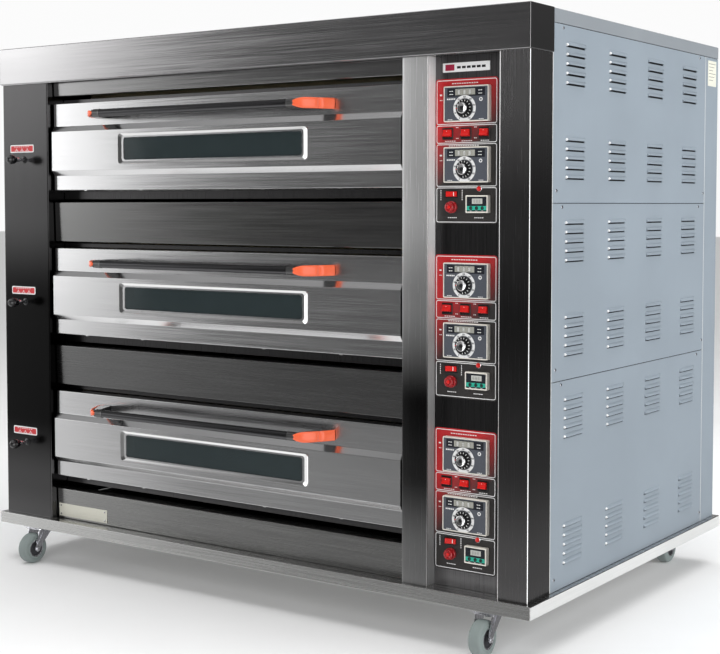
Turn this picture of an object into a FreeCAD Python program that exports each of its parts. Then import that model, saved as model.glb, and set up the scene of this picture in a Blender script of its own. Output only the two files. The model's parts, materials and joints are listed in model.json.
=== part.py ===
import FreeCAD, Part
import math
import os

# Electric deck oven with three stacked baking decks on a castored base.
# Part frame: +X to the right seen from the front, +Y from front to back, +Z up.
# Origin on the floor, under the centre of the oven's overall box.
# All sizes are in millimetres.

Vector = FreeCAD.Vector
X_AXIS = Vector(1, 0, 0)
Y_AXIS = Vector(0, 1, 0)
Z_AXIS = Vector(0, 0, 1)

DECKS = ["lower", "middle", "upper"]

# Overall body
body_width = 1700.0
body_depth = 1112.0
sheet = 2.0
base_rim_height = 31.0
base_overhang = 14.0
base_sheet = 3.0
canopy_height = 101.0
canopy_reach = 8.0
canopy_side_reach = 4.0
front_wrap_depth = 106.0
rear_wrap_depth = 94.0
roof_edge_height = 33.0

# Front, from left to right
left_column_width = 182.0
middle_column_width = 70.0
control_bay_width = 188.0
right_column_width = 77.0
column_return_depth = 60.0

# Deck stack, heights measured up from the base top
first_door_height = 123.0
deck_pitch = 402.0
door_height = 242.0
gap_above_door = 17.0
gap_below_door = 32.0
top_strip_gap = 20.0
top_strip_height = 39.0
kick_strip_drop = 37.0
strip_front_top = 22.0
strip_front_bottom = 25.0

# Doors
door_side_gap = 8.0
door_flat_depth = 18.0
door_raised_depth = 8.0
door_back_depth = 56.0
door_sheet = 2.0
door_cheek = 3.0
upper_flat = 64.0
upper_chamfer = 15.0
raised_band = 108.0
lower_chamfer = 14.0
hinge_pin_radius = 5.0
hinge_height = 10.0
hinge_depth = 44.0
hinge_plate = 3.0
hinge_pin_overrun = 2.0
fit_clearance = 0.05
moving_clearance = 0.3

# Door window
window_width = 602.0
window_height = 60.0
window_drop = 101.0
window_shift = -6.5
trim_side = 18.0
trim_rail = 11.5
trim_proud = 3.0
glass_thickness = 5.0
glass_lap = 8.0
window_corner = 8.0

# Door handle
handle_drop = 38.0
handle_length = 676.0
handle_shift = -15.0
handle_radius = 11.0
handle_wall = 2.0
handle_depth = -54.0
handle_root_spread = 64.0
bracket_height = 27.0
bracket_nose = 6.0
cover_thickness = 4.0
bracket_gusset = 50.0

# Baking chambers
mouth_depth = 62.0
chamber_side_margin = 15.0
chamber_bottom_margin = 14.0
chamber_top_margin = 14.0
chamber_length = 904.0
ledge_height = 28.0
ledge_width = 20.0
ledge_sheet = 3.0
stone_thickness = 20.0
stone_gap = 2.0
element_radius = 5.0
element_count = 5
element_clearance = 8.0
insulation_thickness = 44.0

# Flue ducts and dampers
duct_size = 60.0
duct_front = 128.0
duct_neck_length = 60.0
duct_neck_front = 200.0
flue_radius = 29.0
flue_reach = 30.0
flue_flange_radius = 36.0
damper_x_from_side = 86.0
damper_height = 87.0
damper_rod_radius = 4.0
damper_knob_radius = 14.5
damper_knob_length = 37.0
damper_knob_front = -64.0
damper_knob_rounding = 10.0
damper_flap_gap = 2.0

# Control panels
panel_depth = 35.0
overlay_sheet = 1.0
overlay_width = 165.0
overlay_height = 331.0
overlay_side_margin = 1.0
overlay_top_rise = 6.0
instrument_width = 118.0
instrument_height = 81.0
instrument_thickness = 13.0
instrument_body_inset = 14.0
instrument_body_depth = 62.0
instrument_left = 30.0
instrument_drops = {"upper": 18.0, "lower": 156.0}
dial_drop = 51.0
dial_inset = 55.5
knob_radius = 13.0
knob_skirt_radius = 21.0
knob_skirt = 4.0
knob_length = 9.0
knob_rounding = 1.5
spindle_radius = 3.0
spindle_length = 8.0
cutout_clearance = 0.5
cut_overrun = 1.0

# Rocker switches: bezel, opening and rocker, along and across the rocking direction
switch_names = ["top_heat", "bottom_heat", "light"]
switch_inset = 33.5
switch_pitch = 48.2
switch_drop = 125.0
rocker_length = 16.0
rocker_width = 22.0
power_rocker_length = 26.0
power_rocker_width = 12.0
power_inset = 45.0
power_drop = 263.0
rocker_front = 6.5
rocker_pivot_depth = 4.0
rocker_tilt = 12.0
rocker_pin_radius = 1.5
rocker_pin_engagement = 0.9
rocker_foot = 3.0
rocker_wall = 1.0
bezel_border = 3.0
bezel_proud = 2.0
switch_body_depth = 22.0
switch_body_wall = 1.0

# Timer, pilot lamp and buzzer
timer_width = 58.0
timer_height = 40.0
timer_inset = 118.0
timer_drop = 286.0
timer_body_inset = 6.0
timer_body_depth = 50.0
key_radius = 2.6
key_pitch = 15.0
key_drop = 9.0
key_proud = 1.6
key_length = 6.0
lamp_radius = 7.0
lamp_drop = 251.0
lamp_proud = 5.0
buzzer_radius = 14.0
buzzer_drop = 293.0
buzzer_proud = 16.0

# Side and rear covers
lower_panel_height = 484.0
middle_panel_height = 407.0
louvre_columns = 4
louvre_rows = 5
louvre_margin = 114.0
louvre_length = 100.0
louvre_height = 12.0
louvre_proud = 6.0
louvre_pitch = 21.5
louvre_top_drop = 50.0
louvre_bottom_rise = 54.0
gland_radius = 20.0
gland_outer_radius = 32.0
gland_length = 14.0
gland_height = 90.0
gland_inset = 110.0

# Frame
post_size = 40.0
post_wall = 3.0
rail_size = 30.0

# Casters
wheel_diameter = 84.0
wheel_width = 36.0
tyre_thickness = 19.0
caster_trail = 30.0
caster_inset_x = 110.0
caster_inset_y = 22.0
caster_plate = 3.0
caster_plate_size = 66.0
raceway_radius = 22.0
raceway_height = 4.0
crown_sheet = 3.0
kingpin_radius = 5.0
kingpin_head = 3.0
crown_to_wheel = 8.0
fork_sheet = 2.5
fork_gap = 2.0
axle_radius = 4.0
axle_boss_radius = 9.0
axle_overhang = 3.0

# Small plates and screws
label_width = 96.0
label_height = 22.0
label_rise = 119.0
label_right_inset = 56.0
badge_width = 124.0
badge_height = 21.0
badge_inset = 20.0
badge_drop = 17.0
kick_plate_width = 195.0
kick_plate_height = 36.0
kick_plate_rise = 7.0
rear_plate_width = 60.0
rear_plate_height = 70.0
rear_plate_drop = 9.0
plate_sheet = 1.0
screw_head_radius = 4.0
screw_head_height = 2.2
screw_top_drop = 9.0
screw_bottom_rise = 28.0
screw_top_insets = (49.0, 45.0)
screw_bottom_insets = (20.0, 11.0)

# Contactors and terminal blocks in the control compartment
gear_side_margin = 20.0
gear_depth = 320.0
gear_inset = 10.0
contactor_width = 45.0
contactor_depth = 80.0
contactor_height = 75.0
contactor_pitch = 70.0
terminal_depth = 45.0
terminal_height = 30.0
terminal_drop = 60.0

# Worked-out levels and edges
caster_height = (
    wheel_diameter + crown_to_wheel + crown_sheet + moving_clearance + raceway_height + caster_plate
)
base_top = caster_height + base_rim_height
last_door_height = first_door_height + (len(DECKS) - 1) * deck_pitch
canopy_bottom = last_door_height + door_height + top_strip_gap + top_strip_height
body_height = canopy_bottom + canopy_height
side = body_width / 2
recess_left = -side + left_column_width
bay_right = side - right_column_width
bay_left = bay_right - control_bay_width
recess_right = bay_left - middle_column_width
door_left = recess_left + door_side_gap
door_right = recess_right - door_side_gap
door_centre = (door_left + door_right) / 2
chamber_left = door_left + chamber_side_margin
chamber_right = door_right - chamber_side_margin
front_reach = handle_radius - handle_depth
rear_reach = body_depth + flue_reach
front_y = (front_reach - rear_reach) / 2
damper_x = -side + damper_x_from_side
overlay_left = bay_left + overlay_side_margin


def box(x0, x1, d0, d1, h0, h1):
    """A block between two x values, two depths behind the front plane and two heights above the base top."""
    corner = Vector(x0, front_y + d0, base_top + h0)
    return Part.makeBox(x1 - x0, d1 - d0, h1 - h0, corner)


def place(x, depth, height):
    """The point at x, a depth behind the front plane and a height above the base top."""
    return Vector(x, front_y + depth, base_top + height)


def rod(radius, length, start, direction):
    return Part.makeCylinder(radius, length, start, direction)


def ring(outer_radius, inner_radius, length, start, direction):
    return rod(outer_radius, length, start, direction).cut(rod(inner_radius, length, start, direction))


def prism(points, travel):
    """A closed outline of points swept along a straight line."""
    wire = Part.makePolygon(points + [points[0]])
    return Part.Face(wire).extrude(travel)


def section_along_x(outline, x0, x1):
    """An outline of (depth, height) pairs swept from x0 to x1."""
    return prism([place(x0, depth, height) for depth, height in outline], Vector(x1 - x0, 0, 0))


def sides_along_y(x0, x1, d0, d1, h0, h1, wall):
    """The floor, the roof and the left wall of a square duct that runs from front to back."""
    return [
        box(x0, x1, d0, d1, h0, h0 + wall),
        box(x0, x1, d0, d1, h1 - wall, h1),
        box(x0, x0 + wall, d0, d1, h0 + wall, h1 - wall),
    ]


def tube_block(x0, x1, d0, d1, h0, h1, wall, axis):
    """A square tube with open ends along the named axis."""
    outer = box(x0, x1, d0, d1, h0, h1)
    grow = {name: (0 if name == axis else wall) for name in ("x", "y", "z")}
    hollow = box(
        x0 + grow["x"], x1 - grow["x"], d0 + grow["y"], d1 - grow["y"], h0 + grow["z"], h1 - grow["z"]
    )
    return outer.cut(hollow)


def group(solids):
    return Part.makeCompound(solids)


def mirrored_x(shape):
    return shape.mirror(Vector(0, 0, 0), X_AXIS)


def door_bottom(deck):
    return first_door_height + deck * deck_pitch


def door_top(deck):
    return door_bottom(deck) + door_height


def overlay_top(deck):
    return door_top(deck) + overlay_top_rise


# Base and frame


def base_frame():
    rim = side + base_overhang
    front = -base_overhang
    rear = body_depth + base_overhang
    top = -base_sheet
    bottom = -base_rim_height
    solids = [
        box(-rim, rim, front, rear, top, 0),
        box(-rim, rim, front, front + base_sheet, bottom, top),
        box(-rim, rim, rear - base_sheet, rear, bottom, top),
        box(-rim, -rim + base_sheet, front + base_sheet, rear - base_sheet, bottom, top),
        box(rim - base_sheet, rim, front + base_sheet, rear - base_sheet, bottom, top),
    ]
    half = caster_plate_size / 2 + base_sheet
    for sign in (-1, 1):
        centre = sign * (side - caster_inset_x)
        ends = (front + base_sheet, rear - base_sheet)
        channel = box(centre - half, centre + half, ends[0], ends[1], bottom, top)
        inside = box(centre - half + sheet, centre + half - sheet, ends[0], ends[1], bottom + sheet, top)
        solids.append(channel.cut(inside))
    post_top = body_height - sheet
    front_post = front_wrap_depth + sheet
    rear_post = body_depth - sheet - post_size
    post_x = [-side + sheet, side - sheet - post_size, recess_right + post_size / 2 + sheet]
    for x in post_x:
        for depth in (front_post, rear_post):
            solids.append(
                tube_block(x, x + post_size, depth, depth + post_size, 0, post_top, post_wall, "z")
            )
    for deck in range(len(DECKS)):
        top_of_rail = door_bottom(deck) + chamber_bottom_margin
        for depth in (front_post, rear_post):
            solids.append(
                tube_block(
                    -side + sheet + post_size, post_x[2],
                    depth, depth + rail_size,
                    top_of_rail - rail_size, top_of_rail, post_wall, "x",
                )
            )
    return group(solids)


# Outer covers


def canopy():
    reach = side + canopy_side_reach
    front = -canopy_reach
    low = canopy_bottom
    top = body_height
    solids = [
        box(-reach, reach, front, front + sheet, low, top),
        box(-reach, reach, front + sheet, front_wrap_depth, top - sheet, top),
        box(-reach, reach, front + sheet, front_wrap_depth, low, low + sheet),
    ]
    for x in (-reach, reach - sheet):
        solids.append(box(x, x + sheet, front + sheet, front_wrap_depth, low + sheet, top - sheet))
    return group(solids)


def column(x0, x1, left_return, right_return):
    """An upright folded cover: a front sheet, and a return along each side."""
    front = box(x0, x1, 0, sheet, 0, canopy_bottom)
    left = box(x0, x0 + sheet, sheet, left_return, 0, canopy_bottom)
    right = box(x1 - sheet, x1, sheet, right_return, 0, canopy_bottom)
    return [front, left, right]


def strip(top, bottom):
    """A folded strip across the recess, leaning back towards its lower edge, with two flanges."""
    front = [
        (strip_front_top, top),
        (strip_front_top + sheet, top),
        (strip_front_bottom + sheet, bottom),
        (strip_front_bottom, bottom),
    ]
    lean = (strip_front_bottom - strip_front_top) * sheet / (top - bottom)
    upper = [
        (strip_front_top + sheet, top),
        (column_return_depth, top),
        (column_return_depth, top - sheet),
        (strip_front_top + sheet + lean, top - sheet),
    ]
    lower = [
        (strip_front_bottom + sheet, bottom),
        (column_return_depth, bottom),
        (column_return_depth, bottom + sheet),
        (strip_front_bottom + sheet - lean, bottom + sheet),
    ]
    return [section_along_x(outline, recess_left, recess_right) for outline in (front, upper, lower)]


def front_fascia():
    left = column(-side, recess_left, front_wrap_depth, column_return_depth)
    for deck in range(len(DECKS)):
        start = place(damper_x, -cut_overrun, door_bottom(deck) + damper_height)
        left[0] = left[0].cut(rod(damper_rod_radius + fit_clearance, sheet + 2 * cut_overrun, start, Y_AXIS))
    solids = left + column(recess_right, bay_left, column_return_depth, column_return_depth)
    solids += column(bay_right, side, column_return_depth, front_wrap_depth)
    solids += strip(first_door_height - kick_strip_drop, 0)
    for deck in range(1, len(DECKS)):
        solids += strip(door_bottom(deck) - gap_below_door, door_top(deck - 1) + gap_above_door)
    solids += strip(canopy_bottom, canopy_bottom - top_strip_height)
    return group(solids)


def panel_levels():
    """The heights of the side panels' edges, from the base up."""
    lower = lower_panel_height
    middle = lower + middle_panel_height
    return [0, lower, middle, body_height - roof_edge_height]


def louvre_heights(bottom, top):
    """The lower edges of one panel's louvres: a group near its top and a group near its foot."""
    upper = [top - louvre_top_drop - row * louvre_pitch for row in range(louvre_rows)]
    lower = [bottom + louvre_bottom_rise + row * louvre_pitch for row in range(louvre_rows)]
    return upper + lower


def louvre_depths():
    front = front_wrap_depth + louvre_margin
    rear = body_depth - rear_wrap_depth - louvre_margin
    step = (rear - front) / (louvre_columns - 1)
    return [front + index * step for index in range(louvre_columns)]


def side_panel(bottom, top):
    """One right-hand panel with its pressed louvres."""
    plate = box(side - sheet, side, front_wrap_depth, body_depth - rear_wrap_depth, bottom, top)
    hoods = []
    for height in louvre_heights(bottom, top):
        for centre in louvre_depths():
            start = centre - louvre_length / 2
            points = [
                place(side - sheet / 2, start, height + louvre_height),
                place(side + sheet / 2, start, height + louvre_height),
                place(side + louvre_proud, start, height),
                place(side - sheet / 2, start, height),
            ]
            hoods.append(prism(points, Vector(0, louvre_length, 0)))
    return plate.multiFuse(hoods)


def side_panels():
    levels = panel_levels()
    right = [side_panel(bottom, top) for bottom, top in zip(levels, levels[1:])]
    return group(right + [mirrored_x(panel) for panel in right])


def flue_height(deck):
    return door_bottom(deck) + damper_height


def rear_cover():
    top = body_height - roof_edge_height
    sheet_front = body_depth - sheet
    plate = box(-side, side, sheet_front, body_depth, 0, top)
    for deck in range(len(DECKS)):
        start = place(damper_x, sheet_front - cut_overrun, flue_height(deck))
        plate = plate.cut(rod(flue_radius + cutout_clearance, sheet + 2 * cut_overrun, start, Y_AXIS))
    gland_at = place(side - gland_inset, sheet_front - cut_overrun, gland_height)
    plate = plate.cut(rod(gland_radius, sheet + 2 * cut_overrun, gland_at, Y_AXIS))
    gland_start = place(side - gland_inset, body_depth, gland_height)
    gland = ring(gland_outer_radius, gland_radius, gland_length - sheet, gland_start, Y_AXIS)
    solids = [plate, gland]
    for x in (-side, side - sheet):
        solids.append(box(x, x + sheet, body_depth - rear_wrap_depth, sheet_front, 0, top))
    return group(solids)


def roof_cover():
    low = body_height - roof_edge_height
    under = body_height - sheet
    solids = [
        box(-side, side, front_wrap_depth, body_depth, under, body_height),
        box(-side, side, body_depth - sheet, body_depth, low, under),
    ]
    for x in (-side, side - sheet):
        solids.append(box(x, x + sheet, front_wrap_depth, body_depth - sheet, low, under))
    return group(solids)


# Baking chambers


def chamber_floor(deck):
    return door_bottom(deck) + chamber_bottom_margin


def chamber_roof(deck):
    return door_top(deck) - chamber_top_margin


def stone_bottom(deck):
    return chamber_floor(deck) + sheet + ledge_height


def chamber_back():
    return mouth_depth + chamber_length


def duct_outline(deck):
    half = duct_size / 2
    return damper_x - half, damper_x + half, flue_height(deck) - half, flue_height(deck) + half


def flue_outlet(deck):
    """The steam outlet at the rear: a short pipe with a flange on the rear cover's outer face."""
    bore = flue_radius - sheet
    start = place(damper_x, body_depth - sheet, flue_height(deck))
    flange_start = place(damper_x, body_depth, flue_height(deck))
    pipe = ring(flue_radius, bore, flue_reach + sheet, start, Y_AXIS)
    return pipe.fuse(ring(flue_flange_radius, bore, sheet, flange_start, Y_AXIS))


def oven_chambers():
    solids = []
    back = chamber_back()
    for deck in range(len(DECKS)):
        floor = chamber_floor(deck)
        roof = chamber_roof(deck)
        left_x, right_x, duct_low, duct_high = duct_outline(deck)
        neck = (duct_neck_front, duct_neck_front + duct_neck_length)
        inner_x = (chamber_left, chamber_right)
        left_wall = box(inner_x[0] - sheet, inner_x[0], mouth_depth, back, floor, roof)
        left_wall = left_wall.cut(
            box(
                inner_x[0] - sheet, inner_x[0],
                neck[0] + sheet, neck[1] - sheet, duct_low + sheet, duct_high - sheet,
            )
        )
        solids += [
            box(inner_x[0], inner_x[1], mouth_depth, back, floor, floor + sheet),
            box(inner_x[0], inner_x[1], mouth_depth, back, roof - sheet, roof),
            left_wall,
            box(inner_x[1], inner_x[1] + sheet, mouth_depth, back, floor, roof),
            box(inner_x[0] - sheet, inner_x[1] + sheet, back, back + sheet, floor, roof),
            box(door_left, inner_x[0] - sheet, mouth_depth, mouth_depth + sheet, floor, roof),
            box(inner_x[1] + sheet, door_right, mouth_depth, mouth_depth + sheet, floor, roof),
        ]
        ledge_top = stone_bottom(deck)
        for x in (inner_x[0], inner_x[1] - ledge_width):
            solids.append(
                box(x, x + ledge_width, mouth_depth + sheet, back, ledge_top - ledge_sheet, ledge_top)
            )
        rear = body_depth - sheet
        solids += sides_along_y(left_x, right_x, duct_front, rear, duct_low, duct_high, sheet)
        for front, back_end in ((duct_front, neck[0] + sheet), (neck[1] - sheet, rear)):
            solids.append(
                box(right_x - sheet, right_x, front, back_end, duct_low + sheet, duct_high - sheet)
            )
        neck_end = inner_x[0] - sheet
        for low, high in ((duct_low, duct_low + sheet), (duct_high - sheet, duct_high)):
            solids.append(box(right_x, neck_end, neck[0], neck[1], low, high))
        for front in (neck[0], neck[1] - sheet):
            solids.append(
                box(right_x, neck_end, front, front + sheet, duct_low + sheet, duct_high - sheet)
            )
        solids.append(flue_outlet(deck))
    return group(solids)


def hearth_stones():
    solids = []
    for deck in range(len(DECKS)):
        bottom = stone_bottom(deck)
        solids.append(
            box(
                chamber_left + stone_gap, chamber_right - stone_gap,
                mouth_depth + sheet, chamber_back() - stone_gap,
                bottom, bottom + stone_thickness,
            )
        )
    return group(solids)


def element_heights(deck):
    below = stone_bottom(deck) - ledge_sheet - element_clearance - element_radius
    above = chamber_roof(deck) - sheet - element_clearance - element_radius
    return below, above


def heating_elements():
    solids = []
    pitch = chamber_length / element_count
    for deck in range(len(DECKS)):
        for height in element_heights(deck):
            for index in range(element_count):
                start = place(chamber_left, mouth_depth + pitch * (index + 0.5), height)
                solids.append(rod(element_radius, chamber_right - chamber_left, start, X_AXIS))
    return group(solids)


def insulation():
    solids = []
    back = chamber_back() + sheet
    front = front_wrap_depth + sheet + post_size
    for deck in range(len(DECKS)):
        floor = chamber_floor(deck)
        roof = chamber_roof(deck)
        left_x = chamber_left - sheet
        right_x = chamber_right + sheet
        duct_low, duct_high = duct_outline(deck)[2:]
        left = box(left_x - insulation_thickness, left_x, front, back, floor, roof)
        left = left.cut(
            box(
                left_x - insulation_thickness, left_x,
                duct_neck_front, duct_neck_front + duct_neck_length, duct_low, duct_high,
            )
        )
        right_edge = min(right_x + insulation_thickness, recess_right + post_size / 2)
        solids += [
            box(left_x, right_x, front, back, roof, roof + insulation_thickness),
            left,
            box(right_x, right_edge, front, back, floor, roof),
            box(left_x, right_x, back, back + insulation_thickness, floor, roof),
        ]
    return group(solids)


# Doors


def door_profile(bottom):
    """The door skin's outer outline, with its raised band and two chamfers."""
    top = bottom + door_height
    band_top = top - upper_flat - upper_chamfer
    band_bottom = band_top - raised_band
    return [
        (door_flat_depth, top),
        (door_flat_depth, top - upper_flat),
        (door_raised_depth, band_top),
        (door_raised_depth, band_bottom),
        (door_flat_depth, band_bottom - lower_chamfer),
        (door_flat_depth, bottom),
    ]


def window_box(deck, grow_x, grow_z, d0, d1):
    centre = door_centre + window_shift
    top = door_top(deck) - window_drop + grow_z
    low = door_top(deck) - window_drop - window_height - grow_z
    half = window_width / 2 + grow_x
    return box(centre - half, centre + half, d0, d1, low, top)


def rounded_along_y(block, radius):
    edges = [edge for edge in block.Edges if edge.BoundBox.YLength > 0.5]
    upright = [edge for edge in edges if edge.BoundBox.XLength < 0.01 and edge.BoundBox.ZLength < 0.01]
    return block.makeFillet(radius, upright)


def door_panel(deck):
    bottom = door_bottom(deck)
    outline = door_profile(bottom)
    skin_back = door_back_depth - door_sheet
    outer = outline + [(skin_back, bottom), (skin_back, bottom + door_height)]
    inner = []
    for depth, height in outline:
        inset = door_sheet if height == bottom else (-door_sheet if height == bottom + door_height else 0)
        inner.append((depth + door_sheet, height + inset))
    inner += [(skin_back, bottom + door_sheet), (skin_back, bottom + door_height - door_sheet)]
    skin = section_along_x(outer, door_left, door_right).cut(section_along_x(inner, door_left, door_right))
    skin = skin.cut(rounded_along_y(window_box(deck, 0, 0, 0, skin_back), window_corner))
    liner = box(door_left, door_right, skin_back, door_back_depth, bottom, bottom + door_height)
    liner = liner.cut(window_box(deck, 0, 0, skin_back, door_back_depth))
    pin_bore = rod(
        hinge_pin_radius + fit_clearance, door_right - door_left,
        place(door_left, hinge_depth, bottom + hinge_height), X_AXIS,
    )
    cheeks = []
    for x in (door_left, door_right - door_cheek):
        cheeks.append(section_along_x(inner, x, x + door_cheek).cut(pin_bore))
    trim_front = door_raised_depth - trim_proud
    trim = rounded_along_y(
        window_box(deck, trim_side, trim_rail, trim_front, door_raised_depth), window_corner
    )
    trim = trim.cut(rounded_along_y(window_box(deck, 0, 0, 0, door_raised_depth), window_corner))
    return group([skin, liner, trim] + cheeks)


def door_window(deck):
    outer_face = door_raised_depth + door_sheet
    inner_face = door_back_depth - door_sheet
    return group([
        window_box(deck, glass_lap, glass_lap, outer_face, outer_face + glass_thickness),
        window_box(deck, glass_lap, glass_lap, inner_face - glass_thickness, inner_face),
    ])


def handle_end(deck, sign):
    """One end of a handle: a black gusset arm, and the heat-proof cover on its outer face."""
    height = door_top(deck) - handle_drop
    tube_end = door_centre + handle_shift + sign * handle_length / 2
    nose = tube_end + sign * bracket_nose
    foot = tube_end + sign * handle_root_spread
    tip_depth = handle_depth - handle_radius + cover_thickness
    arm = [
        (tube_end, handle_depth + handle_radius),
        (tube_end, tip_depth),
        (nose, tip_depth),
        (foot, door_flat_depth),
        (foot - sign * bracket_gusset, door_flat_depth),
    ]
    slope = math.hypot(foot - nose, door_flat_depth - tip_depth)
    offset = sign * cover_thickness * slope / (door_flat_depth - tip_depth)
    cover = [
        (nose, tip_depth),
        (nose + offset, tip_depth),
        (foot + offset, door_flat_depth),
        (foot, door_flat_depth),
    ]
    low = height - bracket_height / 2
    rise = Vector(0, 0, bracket_height)
    return [prism([place(x, depth, low) for x, depth in outline], rise) for outline in (arm, cover)]


def door_handle(deck):
    start = door_centre + handle_shift - handle_length / 2
    axis_point = place(start, handle_depth, door_top(deck) - handle_drop)
    bar = ring(handle_radius, handle_radius - handle_wall, handle_length, axis_point, X_AXIS)
    return group([bar] + handle_end(deck, 1) + handle_end(deck, -1))


def hinge_brackets():
    """The fixed plates beside each door, with the pins that the door turns on."""
    solids = []
    reach = door_side_gap - hinge_plate + door_cheek + hinge_pin_overrun
    for deck in range(len(DECKS)):
        height = door_bottom(deck) + hinge_height
        for x, sign in ((recess_left, 1), (recess_right, -1)):
            edges = sorted([x, x + sign * hinge_plate])
            plate = box(
                edges[0], edges[1],
                hinge_depth - 2 * hinge_pin_radius, column_return_depth,
                height - 2 * hinge_pin_radius, height + 2 * hinge_pin_radius,
            )
            pin_start = place(x + sign * hinge_plate, hinge_depth, height)
            pin = rod(hinge_pin_radius, reach, pin_start, X_AXIS * sign)
            solids.append(plate.fuse(pin))
    return group(solids)


# Flue dampers


def damper_pull(deck):
    height = door_bottom(deck) + damper_height
    knob_start = place(damper_x, damper_knob_front, height)
    knob = rod(damper_knob_radius, damper_knob_length, knob_start, Y_AXIS)
    knob = knob.makeFillet(damper_knob_rounding, [knob.Edges[0], knob.Edges[2]])
    rod_front = damper_knob_front + damper_knob_length
    half = duct_size / 2 - sheet - damper_flap_gap
    flap_front = duct_neck_front
    flap = box(
        damper_x + half - sheet, damper_x + half,
        flap_front, flap_front + duct_neck_length,
        height - half, height + half,
    )
    shaft = rod(damper_rod_radius, flap_front - rod_front, place(damper_x, rod_front, height), Y_AXIS)
    link = box(
        damper_x - damper_rod_radius, damper_x + half,
        flap_front - sheet, flap_front,
        height - damper_rod_radius, height + damper_rod_radius,
    )
    return group([knob, shaft.fuse(link).fuse(flap)])


# Control panel: instruments, switches, timer


def instrument_left_x():
    return bay_left + instrument_left


def instrument_top(deck, which):
    return overlay_top(deck) - instrument_drops[which]


def dial_point(deck, which, depth):
    return place(instrument_left_x() + dial_inset, depth, instrument_top(deck, which) - dial_drop)


def instrument_body(deck, which, grow, d0, d1):
    inset = instrument_body_inset - grow
    top = instrument_top(deck, which)
    left = instrument_left_x()
    return box(
        left + inset, left + instrument_width - inset, d0, d1, top - instrument_height + inset, top - inset
    )


def instrument_face():
    return panel_depth - overlay_sheet - instrument_thickness


def temperature_controllers():
    solids = []
    back = panel_depth - overlay_sheet
    for deck in range(len(DECKS)):
        for which in instrument_drops:
            top = instrument_top(deck, which)
            left = instrument_left_x()
            face = instrument_face()
            bezel = box(left, left + instrument_width, face, back, top - instrument_height, top)
            body = instrument_body(deck, which, 0, back, back + instrument_body_depth)
            bore = rod(
                spindle_radius + fit_clearance, spindle_length + cut_overrun,
                dial_point(deck, which, face - cut_overrun), Y_AXIS,
            )
            solids.append(bezel.fuse(body).cut(bore))
    return group(solids)


def dial_knob(deck, which):
    face = instrument_face() - moving_clearance
    knob_front = face - knob_skirt - knob_length
    grip = rod(knob_radius, knob_length, dial_point(deck, which, knob_front), Y_AXIS)
    grip = grip.makeFillet(knob_rounding, [grip.Edges[2]])
    skirt = rod(knob_skirt_radius, knob_skirt, dial_point(deck, which, face - knob_skirt), Y_AXIS)
    spindle = rod(spindle_radius, spindle_length - 2, dial_point(deck, which, face), Y_AXIS)
    return grip.fuse(skirt).fuse(spindle)


def switch_centres(deck):
    """Each switch's name, centre, size along and across its rocking direction, and whether it lies down."""
    height = overlay_top(deck) - switch_drop
    centres = []
    for index, name in enumerate(switch_names):
        x = overlay_left + switch_inset + index * switch_pitch
        centres.append((name, x, height, rocker_length, rocker_width, False))
    power_x = overlay_left + power_inset
    power_height = overlay_top(deck) - power_drop
    centres.append(("power", power_x, power_height, power_rocker_length, power_rocker_width, True))
    return centres


def switch_opening(length):
    """Half the opening's size along the rocking direction, clear of the rocker at both ends of its travel."""
    tilt = math.radians(rocker_tilt)
    depth = rocker_front + rocker_pivot_depth
    return length / 2 * math.cos(tilt) + depth * math.sin(tilt) + moving_clearance


def laid_down(shape, x, height, lies_down):
    """Turns an upright switch a quarter turn about its own centre line where it lies down."""
    if lies_down:
        return shape.rotate(place(x, 0, height), Y_AXIS, 90)
    return shape


def switch_cutout(x, height, length, width, lies_down):
    half = switch_opening(length) + switch_body_wall + cutout_clearance
    wide = width / 2 + moving_clearance + switch_body_wall + cutout_clearance
    block = box(x - wide, x + wide, 0, panel_depth + sheet, height - half, height + half)
    laid_down(block, x, height, lies_down)
    return block


def switch_housing(x, height, length, width, lies_down):
    half = switch_opening(length)
    wide = width / 2 + moving_clearance
    face = panel_depth - overlay_sheet - bezel_proud
    back = panel_depth - overlay_sheet
    border = bezel_border
    body_back = back + switch_body_depth
    tall = half + switch_body_wall
    broad = wide + switch_body_wall
    bezel = box(
        x - wide - border, x + wide + border, face, back, height - half - border, height + half + border
    )
    body = box(x - broad, x + broad, back, body_back, height - tall, height + tall)
    well = box(x - wide, x + wide, face, body_back - sheet, height - half, height + half)
    pin_reach = broad + cut_overrun
    pin = rod(
        rocker_pin_radius + fit_clearance, 2 * pin_reach,
        place(x - pin_reach, face + rocker_pivot_depth, height), X_AXIS,
    )
    housing = bezel.fuse(body).cut(well).cut(pin)
    laid_down(housing, x, height, lies_down)
    return housing


def rocker(deck, name):
    """A rocker with two sloping faces on its own pivot pin, resting with its foot pressed in."""
    x, height, length, width, lies_down = [entry[1:] for entry in switch_centres(deck) if entry[0] == name][0]
    face = panel_depth - overlay_sheet - bezel_proud
    pivot = face + rocker_pivot_depth
    slope = length / 2 * math.tan(math.radians(rocker_tilt))
    outline = [
        (pivot + rocker_pin_radius + rocker_wall, height - rocker_foot),
        (pivot - rocker_wall, height - length / 2),
        (face - rocker_front, height - length / 2),
        (face - rocker_front + slope, height),
        (face - rocker_front, height + length / 2),
        (pivot - rocker_wall, height + length / 2),
        (pivot + rocker_pin_radius + rocker_wall, height + rocker_foot),
    ]
    cap = section_along_x(outline, x - width / 2, x + width / 2)
    reach = width / 2 + moving_clearance + rocker_pin_engagement
    pin = rod(rocker_pin_radius, 2 * reach, place(x - reach, pivot, height), X_AXIS)
    solid = cap.fuse(pin)
    solid.rotate(place(x, pivot, height), X_AXIS, rocker_tilt)
    laid_down(solid, x, height, lies_down)
    return solid


def timer_left_x():
    return bay_left + timer_inset - timer_width / 2


def timer_block(deck, inset, d0, d1):
    centre = overlay_top(deck) - timer_drop
    left = timer_left_x()
    half = timer_height / 2 - inset
    return box(left + inset, left + timer_width - inset, d0, d1, centre - half, centre + half)


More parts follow.
